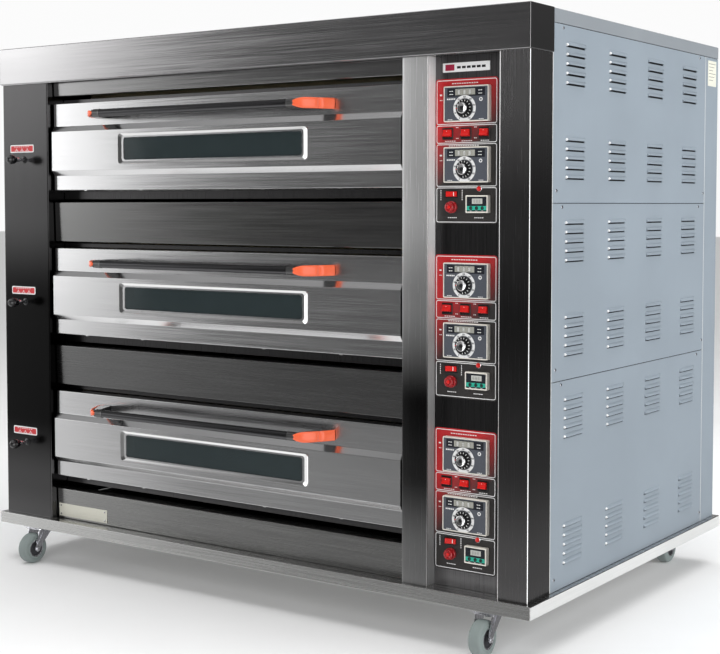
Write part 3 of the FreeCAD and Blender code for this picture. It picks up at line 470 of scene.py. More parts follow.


# The canopy, the three front columns, the middle column's return, the deck strips and the bay are all the one
# black steel. Their base colours and height fades differ from piece to piece only to paint in the reflections
# and shade each piece shows: lit and shaded copies of one material, not different finishes.
M = {
    "canopy": brushed(
        "canopy_steel", (0.45, 0.445, 0.45), 0.19, "x", fade=((0.0, 1.0), (1.36, 0.95), (1.5, 1.1)),
    ),
    "left_column": brushed(
        "column_black_steel", (0.075, 0.074, 0.075), 0.2, "z", shade=0.045, bump=0.02,
        fade=((0.13, 1.3), (0.23, 0.9), (0.42, 0.06), (0.76, 0.06), (1.0, 0.6), (1.36, 1.1)),
    ),
    "middle_column": brushed(
        "middle_column_steel", (0.58, 0.58, 0.58), 0.22, "z", shade=0.045, bump=0.02,
        fade=(
            (0.13, 0.36), (0.184, 0.28), (0.4, 0.02), (0.56, 0.0), (0.8, 0.45), (1.026, 0.9), (1.36, 1.0),
        ),
    ),
    "right_column": brushed(
        "right_column_steel", (0.5, 0.49, 0.495), 0.22, "z", shade=0.045, bump=0.02,
        fade=((0.13, 0.6), (0.2, 0.5), (0.45, 0.2), (0.75, 0.12), (1.0, 0.3), (1.3, 1.0), (1.36, 1.06)),
    ),
    # The return's near-white colour, darker towards the foot, is a painted reflection of the light to the
    # right on the black steel.
    "return": brushed(
        "column_return_painted_reflection", (0.93, 0.93, 0.93), 0.45, "z", fade=(
            (0.13, 0.2), (0.7, 0.4), (1.0, 1.0), (1.36, 1.0),
        )
    ),
    "strip": brushed("strip_steel", (0.2, 0.2, 0.198), 0.19, "x", shade=0.05, bump=0.03),
    "low_strip": brushed("low_strip_steel", (0.17, 0.17, 0.17), 0.24, "x", shade=0.05, bump=0.03),
    "kick_strip": brushed("kick_strip_steel", (0.32, 0.32, 0.315), 0.24, "x"),
    "top_strip": brushed("top_strip_steel", (0.3, 0.3, 0.3), 0.2, "x"),
    "edge": painted("sheared_edge", (0.8, 0.79, 0.77), 0.4, 0.04),
    "door": brushed("door_brushed_steel", (0.66, 0.66, 0.665), 0.18, "x", shade=0.05, bump=0.03),
    # Polished steel for the window trims; the same colour also serves the painted highlight strips on the
    # right column's bends.
    "bright": brushed("polished_steel_and_highlight", (0.8, 0.8, 0.8), 0.14, "x", shade=0.04, bump=0.02),
    "base": brushed("base_brushed_steel", (0.62, 0.62, 0.61), 0.24, "x", shade=0.08),
    "base_side": brushed("base_side_steel", (0.8, 0.8, 0.79), 0.4, "y", shade=0.06),
    "panel": painted("side_sheet_coat", (0.26, 0.30, 0.34), 0.42, 0.05, 0.08),
    "roof": painted("roof_sheet_coat", (0.245, 0.265, 0.285), 0.42, 0.06, 0.08),
    "seam": painted("seam_shadow", (0.012, 0.012, 0.013), 0.8, 0.1),
    # The bay's height fade, lighter near the top and the foot and dark between, is painted reflection and
    # shade on a black sheet; the recess lining shares it.
    "bay": brushed(
        "bay_black_steel", (0.5, 0.49, 0.5), 0.3, "z",
        fade=((0.13, 1.0), (0.19, 0.5), (0.27, 0.1), (0.5, 0.10), (1.0, 0.13), (1.36, 0.34)),
    ),
    "overlay": overlay_print("overlay_print"),
    # White print; the same white also paints the highlight dots on the louvres.
    "print_and_highlight_white": painted("print_and_highlight_white", (0.86, 0.86, 0.86), 0.4, 0.03),
    "cream": moulded("cream_bezel", (0.80, 0.77, 0.70), 0.38, 0.05),
    "face": moulded(
        "instrument_face", (0.082, 0.090, 0.110), 0.30, 0.04, Coat_Weight=0.4, Coat_Roughness=0.1,
    ),
    "face_dark": moulded("instrument_strip", (0.016, 0.018, 0.024), 0.25, 0.03),
    "display": moulded("display_window", (0.36, 0.36, 0.32), 0.25, 0.02),
    "display_lcd": moulded("lcd_window", (0.52, 0.53, 0.50), 0.22, 0.02),
    "digit": moulded("display_digit", (0.95, 0.95, 0.93), 0.3, 0.02),
    "digit_dark": moulded("display_digit_shadow", (0.30, 0.30, 0.27), 0.4, 0.02),
    "black": moulded("black_plastic_moulding", (0.014, 0.014, 0.015), 0.34, 0.08),
    "knob_black": moulded("knob_black_plastic", (0.012, 0.012, 0.013), 0.26, 0.06),
    "chrome": brushed("turned_chrome", (0.85, 0.85, 0.86), 0.10, "y", shade=0.03, bump=0.02),
    "gloss_black": moulded(
        "gloss_black_enamel", (0.006, 0.006, 0.007), 0.16, 0.02, Coat_Weight=0.25, Coat_Roughness=0.08,
    ),
    "black_chrome": brushed("black_chrome", (0.075, 0.075, 0.078), 0.16, "x", shade=0.04, bump=0.02),
    "collar": brushed("handle_collar", (0.13, 0.13, 0.13), 0.3, "x"),
    "orange": moulded(
        "orange_heatproof", (1.0, 0.15, 0.055), 0.30, 0.04, Coat_Weight=0.25, Coat_Roughness=0.12,
    ),
    "red": moulded("red_switch", (0.72, 0.016, 0.014), 0.20, 0.03, Coat_Weight=0.5, Coat_Roughness=0.06),
    "red_dark": moulded(
        "red_buzzer", (0.36, 0.012, 0.016), 0.25, 0.04, Coat_Weight=0.4, Coat_Roughness=0.1,
    ),
    "teal": moulded("timer_teal", (0.02, 0.42, 0.30), 0.35, 0.03),
    "label_red": moulded("label_red_print", (0.60, 0.015, 0.022), 0.36, 0.03),
    "label_crimson": moulded("badge_crimson", (0.36, 0.012, 0.05), 0.36, 0.03),
    "label_plate": painted("plate_aluminium", (0.70, 0.69, 0.60), 0.5, 0.06),
    "zinc": brushed("bright_zinc", (0.74, 0.74, 0.78), 0.24, "z", shade=0.06, wear=0.08),
    "tyre": moulded("grey_tyre", (0.235, 0.275, 0.268), 0.62, 0.25, 500.0),
    "hub": moulded("hub_dark", (0.045, 0.045, 0.05), 0.4, 0.08),
    "chamber": brushed("chamber_aluminised", (0.30, 0.30, 0.295), 0.42, "x", shade=0.12, wear=0.18),
    "stone": stone_material("hearth_stone_fired"),
    "element": painted("element_oxidised", (0.09, 0.08, 0.075), 0.55, 0.15, 0.2, Metallic=0.8),
    "wool": painted("mineral_wool_mat", (0.55, 0.47, 0.28), 0.95, 0.2, 0.8, 300.0),
    "glass": glass_material("window_glass_tinted", (0.06, 0.085, 0.09)),
}
for satin, share in (("middle_column", 0.5), ("return", 0.1), ("base_side", 0.25)):
    M[satin].node_tree.nodes["Principled BSDF"].inputs["Metallic"].default_value = share

# ---------------------------------------------------------------- camera, floor, light


def make_camera():
    data = bpy.data.cameras.new("photo_camera")
    data.lens = 70.93
    data.sensor_width = 36.0
    data.shift_y = -0.0687
    data.clip_start = 0.1
    data.clip_end = 100.0
    camera = bpy.data.objects.new("photo_camera", data)
    camera.location = (2.326, -3.2975, 1.0213)
    camera.rotation_euler = (math.radians(90 - 2.945), 0, math.radians(34.96))
    bpy.context.scene.collection.objects.link(camera)
    bpy.context.scene.camera = camera


def make_floor():
    data = bpy.data.meshes.new("studio_floor")
    half = 40.0
    data.from_pydata(
        [(-half, -half, 0), (half, -half, 0), (half, half, 0), (-half, half, 0)], [], [(0, 1, 2, 3)],
    )
    floor = bpy.data.objects.new("studio_floor", data)
    bpy.context.scene.collection.objects.link(floor)
    data.materials.append(painted("studio_floor_pale", (0.95, 0.95, 0.95), 0.7, 0.01, 0.02, 40.0))
    floor.visible_glossy = False


def make_world():
    """A pale studio: white behind the oven, and soft cards around it that the metal mirrors."""
    world = bpy.data.worlds.new("studio")
    bpy.context.scene.world = world
    world.use_nodes = True
    tree = world.node_tree
    background = tree.nodes["Background"]

    def node(kind, inputs=None, **props):
        return add_node(tree, kind, inputs, **props)

    def calc(operation, first, second=0.0):
        return node("ShaderNodeMath", {0: first, 1: second}, operation=operation).outputs[0]

    def smooth(value, low, high, out_low, out_high):
        made = node(
            "ShaderNodeMapRange",
            {"Value": value, "From Min": low, "From Max": high, "To Min": out_low, "To Max": out_high},
        )
        made.interpolation_type = "SMOOTHSTEP"
        return made.outputs["Result"]

    place = node("ShaderNodeTexCoord")
    split = node("ShaderNodeSeparateXYZ", {"Vector": place.outputs["Generated"]})
    toward_left = calc("MULTIPLY", split.outputs["X"], -1.0)
    toward_front = calc("MULTIPLY", split.outputs["Y"], -1.0)
    azimuth = calc("DEGREES", calc("ARCTAN2", toward_left, toward_front))
    height = calc("DEGREES", calc("ARCSINE", split.outputs["Z"]))
    # The key card stands to the left of the front, with a dim sharp edge and a bright soft one.
    key = calc("ADD", smooth(azimuth, 43.4, 44.0, 0.0, 0.5), smooth(azimuth, 43.5, 48.5, 0.0, 1.9))
    key = calc("MULTIPLY", key, smooth(azimuth, 90.0, 130.0, 1.0, 0.1))
    key = calc("MULTIPLY", key, smooth(height, 16.0, 26.0, 1.0, 0.12))
    key = calc("MULTIPLY", key, smooth(height, -9.0, 1.0, 0.32, 1.0))
    # A narrow card to the right that only the bends catch, and a small one overhead.
    edge = smooth(calc("ABSOLUTE", calc("ADD", azimuth, 62.0)), 12.0, 24.0, 2.4, 0.0)
    edge = calc("MULTIPLY", edge, smooth(calc("ABSOLUTE", height), 20.0, 34.0, 1.0, 0.0))
    top = calc("MULTIPLY", smooth(height, 54.0, 62.0, 0.0, 1.5), smooth(height, 70.0, 76.0, 1.0, 0.3))
    # The floor throws some light up on what faces down, more to the right than to the left.
    low = calc("MULTIPLY", smooth(height, -42.0, -26.0, 0.42, 0.0), smooth(azimuth, 38.0, 47.0, 1.0, 0.25))
    plain = calc(
        "MULTIPLY", smooth(height, -11.0, -5.0, 0.26, 0.09), smooth(azimuth, -125.0, -105.0, 0.75, 1.0),
    )
    level = calc("ADD", calc("ADD", plain, key), calc("ADD", calc("ADD", top, edge), low))
    rays = node("ShaderNodeLightPath")
    shown = node("ShaderNodeMix", {0: rays.outputs["Is Camera Ray"], 2: level, 3: 0.97}, data_type="FLOAT")
    tree.links.new(shown.outputs[0], background.inputs["Strength"])
    background.inputs["Color"].default_value = (1.0, 1.0, 1.0, 1.0)


def softbox(name, location, aim, size, power, color=(1, 1, 1)):
    data = bpy.data.lights.new(name, "AREA")
    data.shape = "RECTANGLE"
    data.size, data.size_y = size
    data.energy = power
    data.color = color
    light = bpy.data.objects.new(name, data)
    light.location = location
    light.rotation_euler = (Vector(aim) - Vector(location)).to_track_quat("-Z", "Y").to_euler()
    light.visible_camera = False
    bpy.context.scene.collection.objects.link(light)
    return light


def make_lights():
    right = softbox("softbox_right", (4.5, 0.8, 2.0), (0.8, 0.1, 0.7), (2.5, 2.5), 115.0, (0.97, 0.99, 1.0))
    right.visible_glossy = False
    top = softbox("softbox_top", (0.0, 0.0, 5.0), (0, 0, 0), (5.0, 5.0), 160.0)
    top.visible_glossy = False
    front = softbox("softbox_front", (1.5, -5.0, 3.0), (0, 0, 0.6), (3.0, 2.0), 60.0)
    front.visible_glossy = False


make_camera()
make_floor()
make_world()
make_lights()
bpy.context.scene.view_settings.view_transform = "Standard"

# ---------------------------------------------------------------- covers of the body

BODY = "oven_body"
SIDE = span("front_fascia")[1]
WRAP = span("front_fascia")[3]
FASCIA_TOP = span("front_fascia")[5]
RETURN = 60.0
RECESS_LEFT, RECESS_RIGHT, STRIP_FACE, STRIP_BACK = [
    box for box in solids_of("front_fascia") if box[2] > 1.0
][0][:4]
BAY_LEFT, BAY_RIGHT, BAY_FACE = span("control_panels")[:3]
LEFT_COLUMN = (-SIDE, RECESS_LEFT, 0.0, WRAP, 0.0, FASCIA_TOP)
MIDDLE_COLUMN = (RECESS_RIGHT, BAY_LEFT, 0.0, RETURN, 0.0, FASCIA_TOP)
RIGHT_COLUMN = (BAY_RIGHT, SIDE, 0.0, WRAP, 0.0, FASCIA_TOP)
DOOR_LOWS = [span("door_panel_" + deck)[4] for deck in DECKS]
DOOR_TOPS = [span("door_panel_" + deck)[5] for deck in DECKS]
KICK_GAP = 37.0
GAP_ABOVE_DOOR = 17.0
GAP_BELOW_DOOR = 32.0
TOP_STRIP_GAP = 20.0
STRIPS = [
    (0.0, DOOR_LOWS[0] - KICK_GAP),
    (DOOR_TOPS[0] + GAP_ABOVE_DOOR, DOOR_LOWS[1] - GAP_BELOW_DOOR),
    (DOOR_TOPS[1] + GAP_ABOVE_DOOR, DOOR_LOWS[2] - GAP_BELOW_DOOR),
    (DOOR_TOPS[2] + TOP_STRIP_GAP, FASCIA_TOP),
]
BODY_X0, BODY_X1, ROOF_FRONT, REAR, ROOF_LOW, ROOF_TOP = span("roof_cover")
REAR_WRAP = span("side_panels")[3]
DAMPER_ROD_X = -SIDE + 86.0


def canopy_cover():
    """The canopy across the top front, with a folded lower lip and a seam at each end."""
    x0, x1, d0, d1, h0, h1 = span("canopy")
    piece = Piece("canopy_cover", M["canopy"], M["seam"])
    piece.block(x0, x1, d0, d1, h0, h1, 2.6, 0, 4)
    lip = 14.0
    piece.block(x0 + 6, x1 - 6, d0 + 4, d0 + lip, h0 - 1.6, h0 + 1, 0.6, 0)
    for x in (x0 + 1.2, x1 - 1.2):
        piece.block(x - 0.35, x + 0.35, d0 - 0.02, d0 + 1, h0 + 3, h1 - 3, 0.0, 1)
    piece.finish(BODY, "canopy", slot="black_steel")


def folded_column(name, box, finish, left_return, right_return, crown, return_reflection_finish=None):
    """An upright cover folded from one sheet. crown bows its front face outwards a little."""
    x0, x1, top = box[0], box[1], box[5]
    steps = 8
    face = []
    for step in range(steps + 1):
        share = step / steps
        bow = crown * (1 - math.sin(math.pi * share))
        face.append((x0 + (x1 - x0) * share, bow))
    path = [(x0, left_return)] + face + [(x1, right_return)]
    outline = rounded([path[0], path[1]] + path[2:-2] + [path[-2], path[-1]], BEND, 5)
    piece = Piece(name, *([finish, return_reflection_finish] if return_reflection_finish else [finish]))
    piece.run(thick(outline, SHEET), "xd", 0.4, top - 0.4)
    # The middle column's right return takes the second finish: a near-white painted reflection on what is
    # black steel.
    if return_reflection_finish:
        for face in piece.mesh.faces:
            middle = face.calc_center_median()
            if middle.x > x1 - SHEET - 1 and middle.y > 6:
                face.material_index = 1
    return piece


def bend_highlights():
    """Bright lines along the right column's two bends: painted highlights, built as thin strips of polished
    steel.
    """
    piece = Piece("column_bend_highlights", M["bright"])
    x0, x1, top = RIGHT_COLUMN[0], RIGHT_COLUMN[1], RIGHT_COLUMN[5]
    for x, sign in ((x0, 1), (x1, -1)):
        arc = []
        for step in range(7):
            turn = math.radians(15 + 10 * step)
            reach = BEND + 0.12
            arc.append((x + sign * (BEND - reach * math.cos(turn)), BEND - reach * math.sin(turn)))
        piece.run(thick(arc, -0.5 * sign), "xd", 1.0, top - 1.0)
    piece.finish(BODY, slot="black_steel")


def front_columns():
    # The three columns are one black steel; their different base tones and height fades are painted
    # reflection and shade.
    piece = folded_column("left_column_cover", LEFT_COLUMN, M["left_column"], WRAP - 0.5, RETURN, 0.0)
    piece.finish(BODY, "front_fascia", slot="black_steel")
    piece = folded_column(
        "middle_column_cover", MIDDLE_COLUMN, M["middle_column"], RETURN, RETURN, 1.6, M["return"],
    )
    piece.finish(BODY, slot="black_steel")
    piece = folded_column("right_column_cover", RIGHT_COLUMN, M["right_column"], RETURN, WRAP - 0.5, 0.0)
    piece.finish(BODY, slot="black_steel")
    bend_highlights()


def deck_strips():
    """The fixed strips across the recess, each folded with a lip along its top and its foot."""
    x0, x1, d0, d1 = RECESS_LEFT, RECESS_RIGHT, STRIP_FACE, STRIP_BACK
    for index, (low, top) in enumerate(STRIPS):
        lean = min(3.0, (top - low) * 0.03)
        path = [(d1, low), (d0 + lean, low), (d0, top), (d1, top)]
        outline = thick(rounded(path, BEND, 5), -SHEET)
        # Each strip takes its own tone of the one steel, lighter or darker to paint in the reflection and
        # shade it shows.
        finish = ("kick_strip", "low_strip", "strip", "top_strip")[index]
        piece = Piece("deck_strip_%d" % index, M[finish])
        piece.run(outline, "dh", x0 + 4, x1 - 1)
        piece.block(x0 + 4, x0 + 6, d0 + lean + 2, d1, low + 1, top - 1, 0.5)
        piece.finish(BODY, slot="black_steel")


def recess_lining():
    """The dark sheet behind the gaps above and below the doors; its dark tone is painted shade for the deep
    gaps.
    """
    left = LEFT_COLUMN[1]
    right = MIDDLE_COLUMN[0]
    piece = Piece("recess_lining", M["bay"])
    for deck in DECKS:
        d1, low, top = span("door_panel_" + deck)[3:]
        for h0, h1 in ((top + 1.5, top + 12.0), (low - 24.0, low - 2.0)):
            piece.block(left + 2, right - 2, d1 + 5, d1 + 6.5, h0, h1, 0.3)
    piece.finish(BODY, slot="black_steel")


PANEL_LEVELS = (0.0, 484.0, 891.0, ROOF_LOW)
LOUVRE_LENGTH = 100.0
LOUVRE_HEIGHT = 12.0
LOUVRE_PROUD = 6.0
SLIT = 3.6
LOUVRE_PITCH = 21.5
LOUVRE_ROWS = 5
LOUVRE_COLUMNS = 4
LOUVRE_MARGIN = 114.0
LOUVRE_TOP_DROP = 50.0
LOUVRE_BOTTOM_RISE = 54.0


def hood_points(sign, face, start, low, inset):
    """Rows of points over one louvre hood, from its front end to its rear end."""
    rows = []
    along_steps = 12
    for a in range(along_steps + 1):
        share = a / along_steps
        end = min(share * LOUVRE_LENGTH / 5.0, (1 - share) * LOUVRE_LENGTH / 9.0, 1.0)
        proud = (LOUVRE_PROUD - 0.4) * math.sin(end * math.pi / 2) - inset
        row = []
        for v in range(7):
            turn = v / 6
            out = max(proud * math.sin(turn * math.pi / 2) ** 0.9, -inset)
            height = low + SLIT + (LOUVRE_HEIGHT - SLIT) * (1 - turn) - inset * (1 - turn)
            row.append((face + sign * out, start + share * LOUVRE_LENGTH, height))
        rows.append(row)
    return rows


def add_hood(piece, sign, face, start, low):
    """A pressed hood of 1 mm sheet, open underneath."""
    outer = hood_points(sign, face, start, low, 0.0)
    inner = hood_points(sign, face, start, low, 1.0)
    mesh = piece.mesh
    top = [[mesh.verts.new(point) for point in row] for row in outer]
    under = [[mesh.verts.new(point) for point in row] for row in inner]
    last = len(outer[0]) - 1
    for a in range(len(outer) - 1):
        for v in range(last):
            mesh.faces.new((top[a][v], top[a + 1][v], top[a + 1][v + 1], top[a][v + 1]))
            mesh.faces.new((under[a][v], under[a][v + 1], under[a + 1][v + 1], under[a + 1][v]))
        mesh.faces.new((top[a][last], top[a + 1][last], under[a + 1][last], under[a][last]))
        mesh.faces.new((top[a][0], under[a][0], under[a + 1][0], top[a + 1][0]))
    for v in range(last):
        mesh.faces.new((top[0][v], top[0][v + 1], under[0][v + 1], under[0][v]))
        mesh.faces.new((top[-1][v], under[-1][v], under[-1][v + 1], top[-1][v + 1]))


def is_hole(i, j):
    """Whether a cell of a louvred panel's grid is one of its slots."""
    return i % 2 == 1 and j % 2 == 1


def louvred_panel(name, sign, low, high):
    """One side panel: a sheet with a slot under each louvre hood."""
    front = WRAP + 2.2
    rear = REAR_WRAP - 1.4
    outer = sign * SIDE
    inner = sign * (SIDE - 1.6)
    first = WRAP + LOUVRE_MARGIN
    step = (REAR_WRAP - LOUVRE_MARGIN - first) / (LOUVRE_COLUMNS - 1)
    starts = [first + index * step - LOUVRE_LENGTH / 2 for index in range(LOUVRE_COLUMNS)]
    lows = [high - LOUVRE_TOP_DROP - row * LOUVRE_PITCH for row in range(LOUVRE_ROWS)]
    lows += [low + LOUVRE_BOTTOM_RISE + row * LOUVRE_PITCH for row in range(LOUVRE_ROWS)]
    lows.sort()
    slot_height = LOUVRE_HEIGHT - 3.0
    depths = [front] + [d for start in starts for d in (start + 1.5, start + LOUVRE_LENGTH - 3)] + [rear]
    heights = [low + 0.9] + [h for base in lows for h in (base, base + slot_height)] + [high - 0.9]
    piece = Piece(name, M["panel"], M["seam"], M["print_and_highlight_white"])
    grid = {}
    for side, x in (("out", outer), ("in", inner)):
        for i, depth in enumerate(depths):
            for j, height in enumerate(heights):
                grid[side, i, j] = piece.mesh.verts.new((x, depth, height))
    columns = len(depths) - 1
    rows = len(heights) - 1
    for i in range(columns):
        for j in range(rows):
            if is_hole(i, j):
                continue
            for side in ("out", "in"):
                piece.mesh.faces.new(
                    [grid[side, i + a, j + b] for a, b in ((0, 0), (1, 0), (1, 1), (0, 1))]
                )
    for i in range(columns):
        for j in range(rows):
            solid = not is_hole(i, j)
            edges = (
                ((0, 0), (1, 0), (0, -1)), ((1, 0), (1, 1), (1, 0)),
                ((1, 1), (0, 1), (0, 1)), ((0, 1), (0, 0), (-1, 0)),
            )
            for first_corner, second_corner, (di, dj) in edges:
                inside = 0 <= i + di < columns and 0 <= j + dj < rows
                open_side = not inside or is_hole(i + di, j + dj)
                if solid and open_side:
                    a = (i + first_corner[0], j + first_corner[1])
                    b = (i + second_corner[0], j + second_corner[1])
                    piece.mesh.faces.new(
                        (
                            grid["out", a[0], a[1]], grid["out", b[0], b[1]], grid["in", b[0], b[1]],
                            grid["in", a[0], a[1]],
                        )
                    )
    # A small dome at the front end of each hood; on the first two columns it is white, a painted highlight,
    # and on the others it takes the panel's coat.
    dot = [(3.3, -0.2), (3.2, 1.6), (2.5, 3.2), (1.3, 4.3), (0.2, 4.7)]
    for base in lows:
        for column, start in enumerate(starts):
            add_hood(piece, sign, outer, start, base)
            piece.lathe(
                (outer, start + 3.4, base + 5.6), [(r, sign * t) for r, t in dot], "x",
                2 if column < 2 else 0, 16
            )
    return piece


def side_covers():
    replaced = ["side_panels"]
    for sign, side in ((1, "right"), (-1, "left")):
        for index, (low, high) in enumerate(zip(PANEL_LEVELS, PANEL_LEVELS[1:])):
            piece = louvred_panel("side_panel_%s_%d" % (side, index), sign, low, high)
            piece.finish(BODY, *replaced, slot="grey_sheet", sharp=40)
            replaced = []
    # A near-black sheet just inside each side stands in for the shade inside the body, seen through the slots
    # and the seams between panels.
    backing = Piece("side_backing", M["seam"])
    for sign in (1, -1):
        edges = sorted((sign * (SIDE - 5.0), sign * (SIDE - 3.6)))
        backing.block(edges[0], edges[1], WRAP + 2, REAR_WRAP - 2, 2, ROOF_LOW + 6, 0.2)
    backing.finish(BODY, slot="grey_sheet")
    edges = Piece("panel_edge_strips", M["edge"])
    for sign in (1, -1):
        low_x, high_x = sorted((sign * (SIDE - 2.0), sign * SIDE))
        for start, end in ((WRAP - 0.6, WRAP + 1.9), (REAR_WRAP - 0.6, REAR_WRAP + 1.2)):
            edges.block(low_x, high_x, start, end, 1.0, ROOF_LOW - 0.6, 0.3)
    edges.finish(BODY, slot="grey_sheet")


def rear_covers():
    """The rear sheet with its corner returns, and the cable gland."""
    top = ROOF_LOW - 0.8
    piece = Piece("rear_sheet", M["panel"], M["seam"])
    path = [(-SIDE, REAR_WRAP + 0.8), (-SIDE, REAR), (SIDE, REAR), (SIDE, REAR_WRAP + 0.8)]
    piece.run(thick(rounded(path, BEND, 5), -SHEET), "xd", 0.6, top)
    piece.finish(BODY, "rear_cover", slot="grey_sheet")
    centre = (740.0, REAR, 90.0)
    outer = 32.0
    bore = 20.0
    reach = span("rear_cover")[3] - REAR
    cable = Piece("cable_gland", M["black"], M["seam"])
    profile = [
        (outer, 0.0), (outer, 3.0), (outer - 1, 4.0), (outer - 6, 4.6), (outer - 7, reach - 1),
        (outer - 8, reach), (bore + 0.6, reach), (bore, reach - 0.8), (bore, 0.5), (bore - 2, 0.4),
    ]
    cable.lathe(centre, profile, "d", 0, 48)
    cable.finish(BODY, slot="black_plastic")


def roof_sheet():
    """The roof sheet with its edges folded down over the side panels."""
    piece = Piece("roof_sheet", M["roof"])
    x0, x1, d0, d1 = BODY_X0, BODY_X1, ROOF_FRONT, REAR
    path = [(x0, ROOF_LOW + 0.8), (x0, ROOF_TOP), (x1, ROOF_TOP), (x1, ROOF_LOW + 0.8)]
    piece.run(thick(rounded(path, BEND, 5), -SHEET), "xh", d0 + 1.0, d1 - 1.2)
    piece.block(x0 + 0.5, x1 - 0.5, d1 - 2.4, d1 - 0.2, ROOF_LOW + 0.8, ROOF_TOP - 1.0, 0.6)
    piece.finish(BODY, "roof_cover", slot="galvanised_sheet")


def base_tray():
    """The base tray with folded rims, welded corners, caster channels, corner posts and rails."""
    x0, x1, d0, d1 = span("base_frame")[:4]
    low = min(box[4] for box in solids_of("base_frame"))
    piece = Piece("base_tray", M["base"], M["seam"], M["base_side"])
    piece.block(x0, x1, d0, d1, -2.8, 0.0, 1.2, 0, 3)
    rim = 2.6
    for a, b, c, d in (
        (x0, x1, d0, d0 + rim), (x0, x1, d1 - rim, d1), (x0, x0 + rim, d0, d1), (x1 - rim, x1, d0, d1),
    ):
        piece.block(a, b, c, d, low, -0.8, 1.1, 2 if d - c > rim + 1 else 0, 3)
    lip = 12.0
    for a, b, c, d in ((x0 + 2, x1 - 2, d0 + 1, d0 + lip), (x0 + 2, x1 - 2, d1 - lip, d1 - 1)):
        piece.block(a, b, c, d, low, low + 1.6, 0.5)
    for a, b in ((x0 + 1, x0 + lip), (x1 - lip, x1 - 1)):
        piece.block(a, b, d0 + 4, d1 - 4, low, low + 1.6, 0.5)
    for x in (x0 + 1.6, x1 - 1.6):
        for height in (-7.0, -13.0, -19.5, -25.0):
            piece.lathe(
                (x, d0 + 1.6, height - 1), [(0.4, 0), (1.3, 0.5), (1.5, 1.5), (1.1, 2.4), (0.3, 2.8)], "h",
                1, 10,
            )
    for box in solids_of("base_frame"):
        is_rim = box[5] <= 0.5 and (box[1] - box[0] > 1000 and box[3] - box[2] < 20 or box[1] - box[0] < 20)
        is_top = box[1] - box[0] > 1000 and box[3] - box[2] > 500
        if not (is_rim or is_top):
            piece.block(*box, 1.0)
    piece.finish(BODY, "base_frame", slot="base_steel")


def screw(piece, centre, axis, sign, radius=4.0, height=2.0):
    """A pan-head screw with a cross recess."""
    profile = [
        (radius, 0), (radius, 0.3), (radius * 0.86, 0.62), (radius * 0.55, 0.92), (radius * 0.2, 1.0),
    ]
    piece.lathe(centre, [(r, sign * h * height) for r, h in profile], axis, 0, 20)
    x, d, h = centre
    arm = radius * 0.55
    wide = radius * 0.13
    if axis == "x":
        edges = sorted((x + sign * height * 0.6, x + sign * (height + 0.1)))
        piece.block(edges[0], edges[1], d - arm, d + arm, h - wide, h + wide, 0, 1)
        piece.block(edges[0], edges[1], d - wide, d + wide, h - arm, h + arm, 0, 1)
    else:
        edges = sorted((d + sign * height * 0.6, d + sign * (height + 0.1)))
        piece.block(x - arm, x + arm, edges[0], edges[1], h - wide, h + wide, 0, 1)
        piece.block(x - wide, x + wide, edges[0], edges[1], h - arm, h + arm, 0, 1)


def cover_screws():
    piece = Piece("cover_screws", M["zinc"], M["seam"])
    for box in solids_of("panel_screws"):
        sign = 1 if box[0] > 0 else -1
        centre = (sign * SIDE, (box[2] + box[3]) / 2, (box[4] + box[5]) / 2)
        screw(piece, centre, "x", sign)
    rim = span("base_frame")
    for sign in (1, -1):
        for depth in (WRAP + 20, WRAP + 12 + 420, REAR_WRAP - 30):
            screw(piece, (sign * (rim[1] - 1.2), depth, -7.0), "x", sign, 2.6, 1.0)
    piece.finish(BODY, "panel_screws", slot="zinc_steel")


# ---------------------------------------------------------------- doors

WINDOWS = {deck: span("door_window_" + deck) for deck in DECKS}
GLASS_LAP = 8.0
GLASS_THICKNESS = 5.0
WINDOW_CORNER = 8.0
TRIM_SIDE = 18.0
TRIM_RAIL = 11.5
UPPER_FLAT = 64.0
UPPER_CHAMFER = 15.0
RAISED_BAND = 108.0
LOWER_CHAMFER = 14.0
FLAT_DEPTH = 18.0
RAISED_DEPTH = 8.0
HANDLE_RADIUS = 11.0
HANDLE_DROP = 38.0


def cut_window(obj, box, radius):
    """Cuts a rounded opening straight through a door sheet."""
    x0, x1, d0, d1, h0, h1 = box
    cutter = Piece("cutter")
    cutter.stack([rounded_rectangle(x0, x1, h0, h1, radius, depth) for depth in (d0, d1)])
    tool = cutter.finish("oven_body")
    obj.modifiers.clear()
    cut = obj.modifiers.new("window", "BOOLEAN")
    cut.object = tool
    cut.operation = "DIFFERENCE"
    cut.solver = "EXACT"
    bpy.context.view_layer.update()
    graph = bpy.context.evaluated_depsgraph_get()
    made = bpy.data.meshes.new_from_object(obj.evaluated_get(graph))
    obj.modifiers.remove(cut)
    obj.data = made
    bpy.data.objects.remove(tool)
    weight_normals(obj)


def window_opening(deck):
    x0, x1, _, _, low, top = WINDOWS[deck]
    return x0 + GLASS_LAP, x1 - GLASS_LAP, low + GLASS_LAP, top - GLASS_LAP


